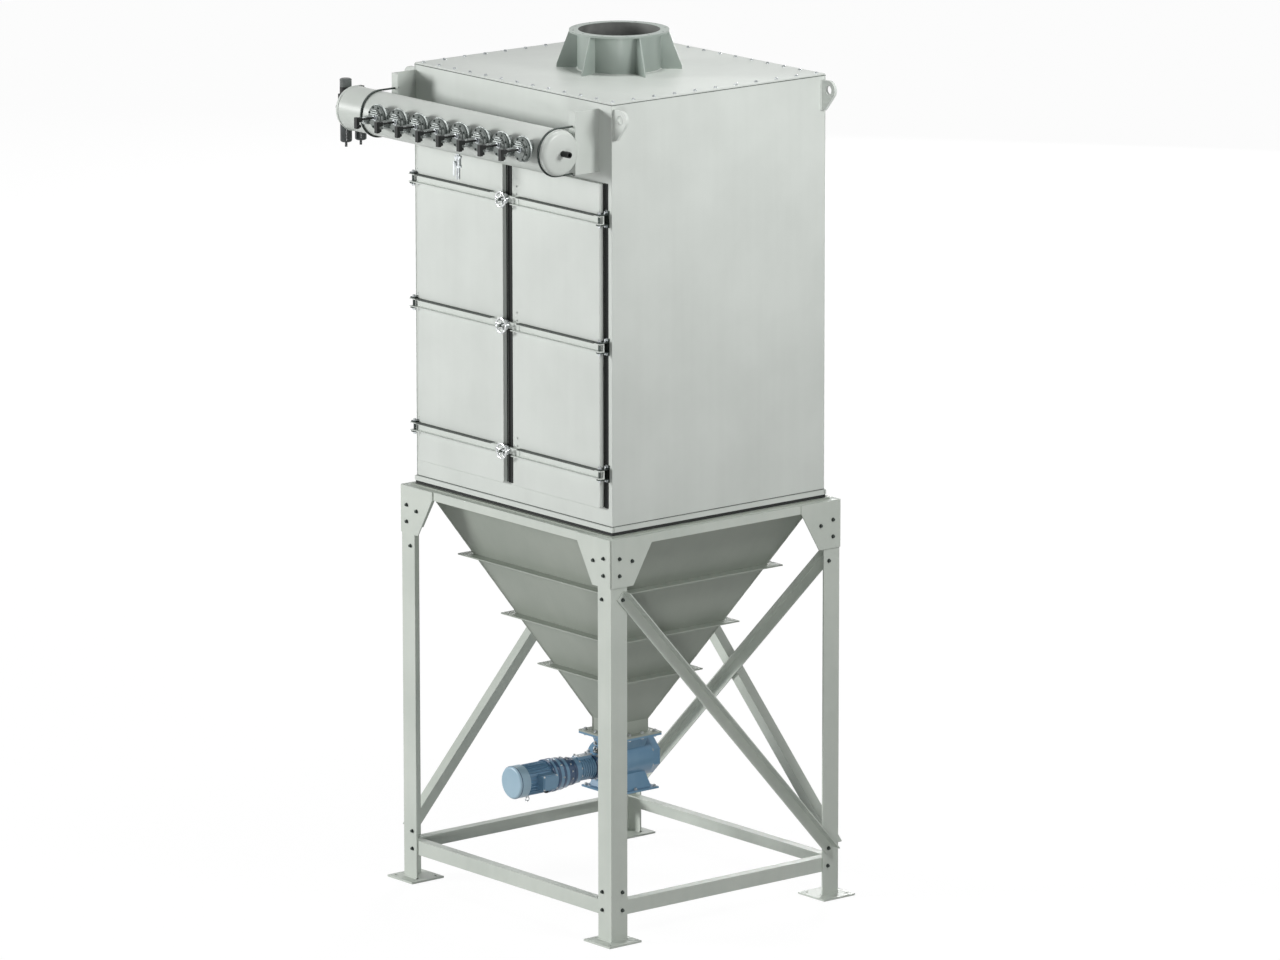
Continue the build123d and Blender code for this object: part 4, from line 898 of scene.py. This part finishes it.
# Terminal box: its lid is a pressed cover with four screws, and a nylon gland points down to take the
# motor's cable.
lid_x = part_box("motor")[1][0]
lid_y = -0.672
lid_sheet = 0.008
lid = block((lid_x + lid_sheet / 2, lid_y, drive_axis), (lid_sheet, 0.110, 0.094))
pick("edges", lambda middle, direction: abs(direction.x) > 0.9)
bpy.ops.mesh.bevel(offset=0.010, segments=4)
pick("faces", lambda middle, normal: normal.x > 0.9)
bpy.ops.mesh.inset(thickness=0.007, depth=0)
bpy.ops.mesh.extrude_region_move(TRANSFORM_OT_translate={"value": (0.005, 0, 0)})
bpy.ops.mesh.bevel(offset=0.0012, segments=2)
finish(lid, "terminal_box_lid", drive_enamel)
places = [((lid_x + lid_sheet, lid_y + sx * 0.048, drive_axis + sy * 0.040), (1, 0, 0)) for sx, sy in corners]
finish(set_copies(hex_bolt(0.008, 0.004, 0.001), places), "terminal_box_screws", zinc_plate)
gland_place = (lid_x - 0.035, lid_y, drive_axis - 0.044)
finish(set_copies(hex_bolt(0.024, 0.018, 0.008), [(gland_place, (0, 0, -1))]), "motor_cable_gland",
       black_nylon)

# Studio: a pale seamless floor and five soft lamps: a broad one in front on the left, a low fill on the
# camera's side, near ones by the right wall and over the roof, and one behind.
deselect()
bpy.ops.mesh.primitive_plane_add(size=60)
floor = bpy.context.object
floor.name = "floor"
floor_paper, paper_shader = new_material("pale_studio_floor", 0.9)
paper_shader.inputs["Base Color"].default_value = linear("B4B4B4")
floor.data.materials.append(floor_paper)
floor_glow = 1.1
glow_share = 0.87


def background_rays(material):
    """1 for rays that come from the camera, a mirror or glass, and 0 for the light that falls on things."""
    ray = add_node(material, "ShaderNodeLightPath").outputs
    mirror = add_node(material, "ShaderNodeMath", {"operation": "MAXIMUM"}, None,
                      {0: ray["Is Camera Ray"], 1: ray["Is Glossy Ray"]})
    glass = add_node(material, "ShaderNodeMath", {"operation": "MAXIMUM"}, None,
                     {0: mirror.outputs[0], 1: ray["Is Transmission Ray"]})
    return glass.outputs[0]


bright = add_node(floor_paper, "ShaderNodeEmission", None, {"Color": (1, 1, 1, 1), "Strength": floor_glow})
share = add_node(floor_paper, "ShaderNodeMath", {"operation": "MULTIPLY"}, {1: glow_share},
                 {0: background_rays(floor_paper)})
mixed = add_node(floor_paper, "ShaderNodeMixShader", None, None,
                 {0: share.outputs[0], 1: paper_shader.outputs[0], 2: bright.outputs[0]})
floor_paper.node_tree.links.new(mixed.outputs[0], floor_paper.node_tree.nodes["Material Output"].inputs[0])
studio = bpy.data.worlds.new("studio")
bpy.context.scene.world = studio
studio.use_nodes = True
background = studio.node_tree.nodes["Background"]
background.inputs["Color"].default_value = (1, 1, 1, 1)
light_level = add_node(studio, "ShaderNodeMapRange", None, {"To Min": 0.10, "To Max": 1.0},
                       {"Value": background_rays(studio)})
studio.node_tree.links.new(light_level.outputs[0], background.inputs["Strength"])


def lamp(name, place, size, power, aim):
    """A round soft lamp that looks at a point."""
    bpy.ops.object.light_add(type="AREA", location=place)
    light = bpy.context.object
    light.name = name
    light.data.shape = "DISK"
    light.data.size = size
    light.data.energy = power
    light.rotation_euler = (Vector(aim) - Vector(place)).to_track_quat("-Z", "Y").to_euler()


middle_of_part = (0, 0, 2.6)
lamp("front_lamp", (-18.5, -24, 9.5), 9, 7800, middle_of_part)
lamp("fill_lamp", (20.3, -14.2, 2.4), 4, 1260, middle_of_part)
lamp("right_lamp", (5.2, 0.6, 6.3), 1.6, 160, (1, 0, 4))
lamp("roof_lamp", (0.75, 0.1, 8.6), 1.2, 84, (0.75, 0.1, 5))
lamp("back_lamp", (-16, 20, 5), 5, 3400, middle_of_part)

# Camera: far off to the right of the doors and a little above the middle of the casing, with a long
# lens, so that the upright edges stay parallel.
camera_azimuth = math.radians(50.64)
camera_elevation = math.radians(12.504)
camera_roll = math.radians(-0.05)
camera_distance = 53.509
camera_aim_height = 2.5771
camera_aim_right = 0.1242
camera_back = Vector((math.sin(camera_azimuth) * math.cos(camera_elevation),
                      -math.cos(camera_azimuth) * math.cos(camera_elevation), math.sin(camera_elevation)))
camera_right = Vector((math.cos(camera_azimuth), math.sin(camera_azimuth), 0))
camera_up = camera_back.cross(camera_right)
rolled_right = camera_right * math.cos(camera_roll) + camera_up * math.sin(camera_roll)
rolled_up = camera_up * math.cos(camera_roll) - camera_right * math.sin(camera_roll)
camera_aim = Vector((0, 0, camera_aim_height)) + camera_right * camera_aim_right
bpy.ops.object.camera_add()
camera = bpy.context.object
camera.name = "photo_camera"
camera.matrix_world = Matrix((rolled_right, rolled_up, camera_back)).transposed().to_4x4()
camera.location = camera_aim + camera_back * camera_distance
camera.data.lens = 245.2
camera.data.clip_end = 500
bpy.context.scene.camera = camera
bpy.context.scene.view_settings.view_transform = "Standard"
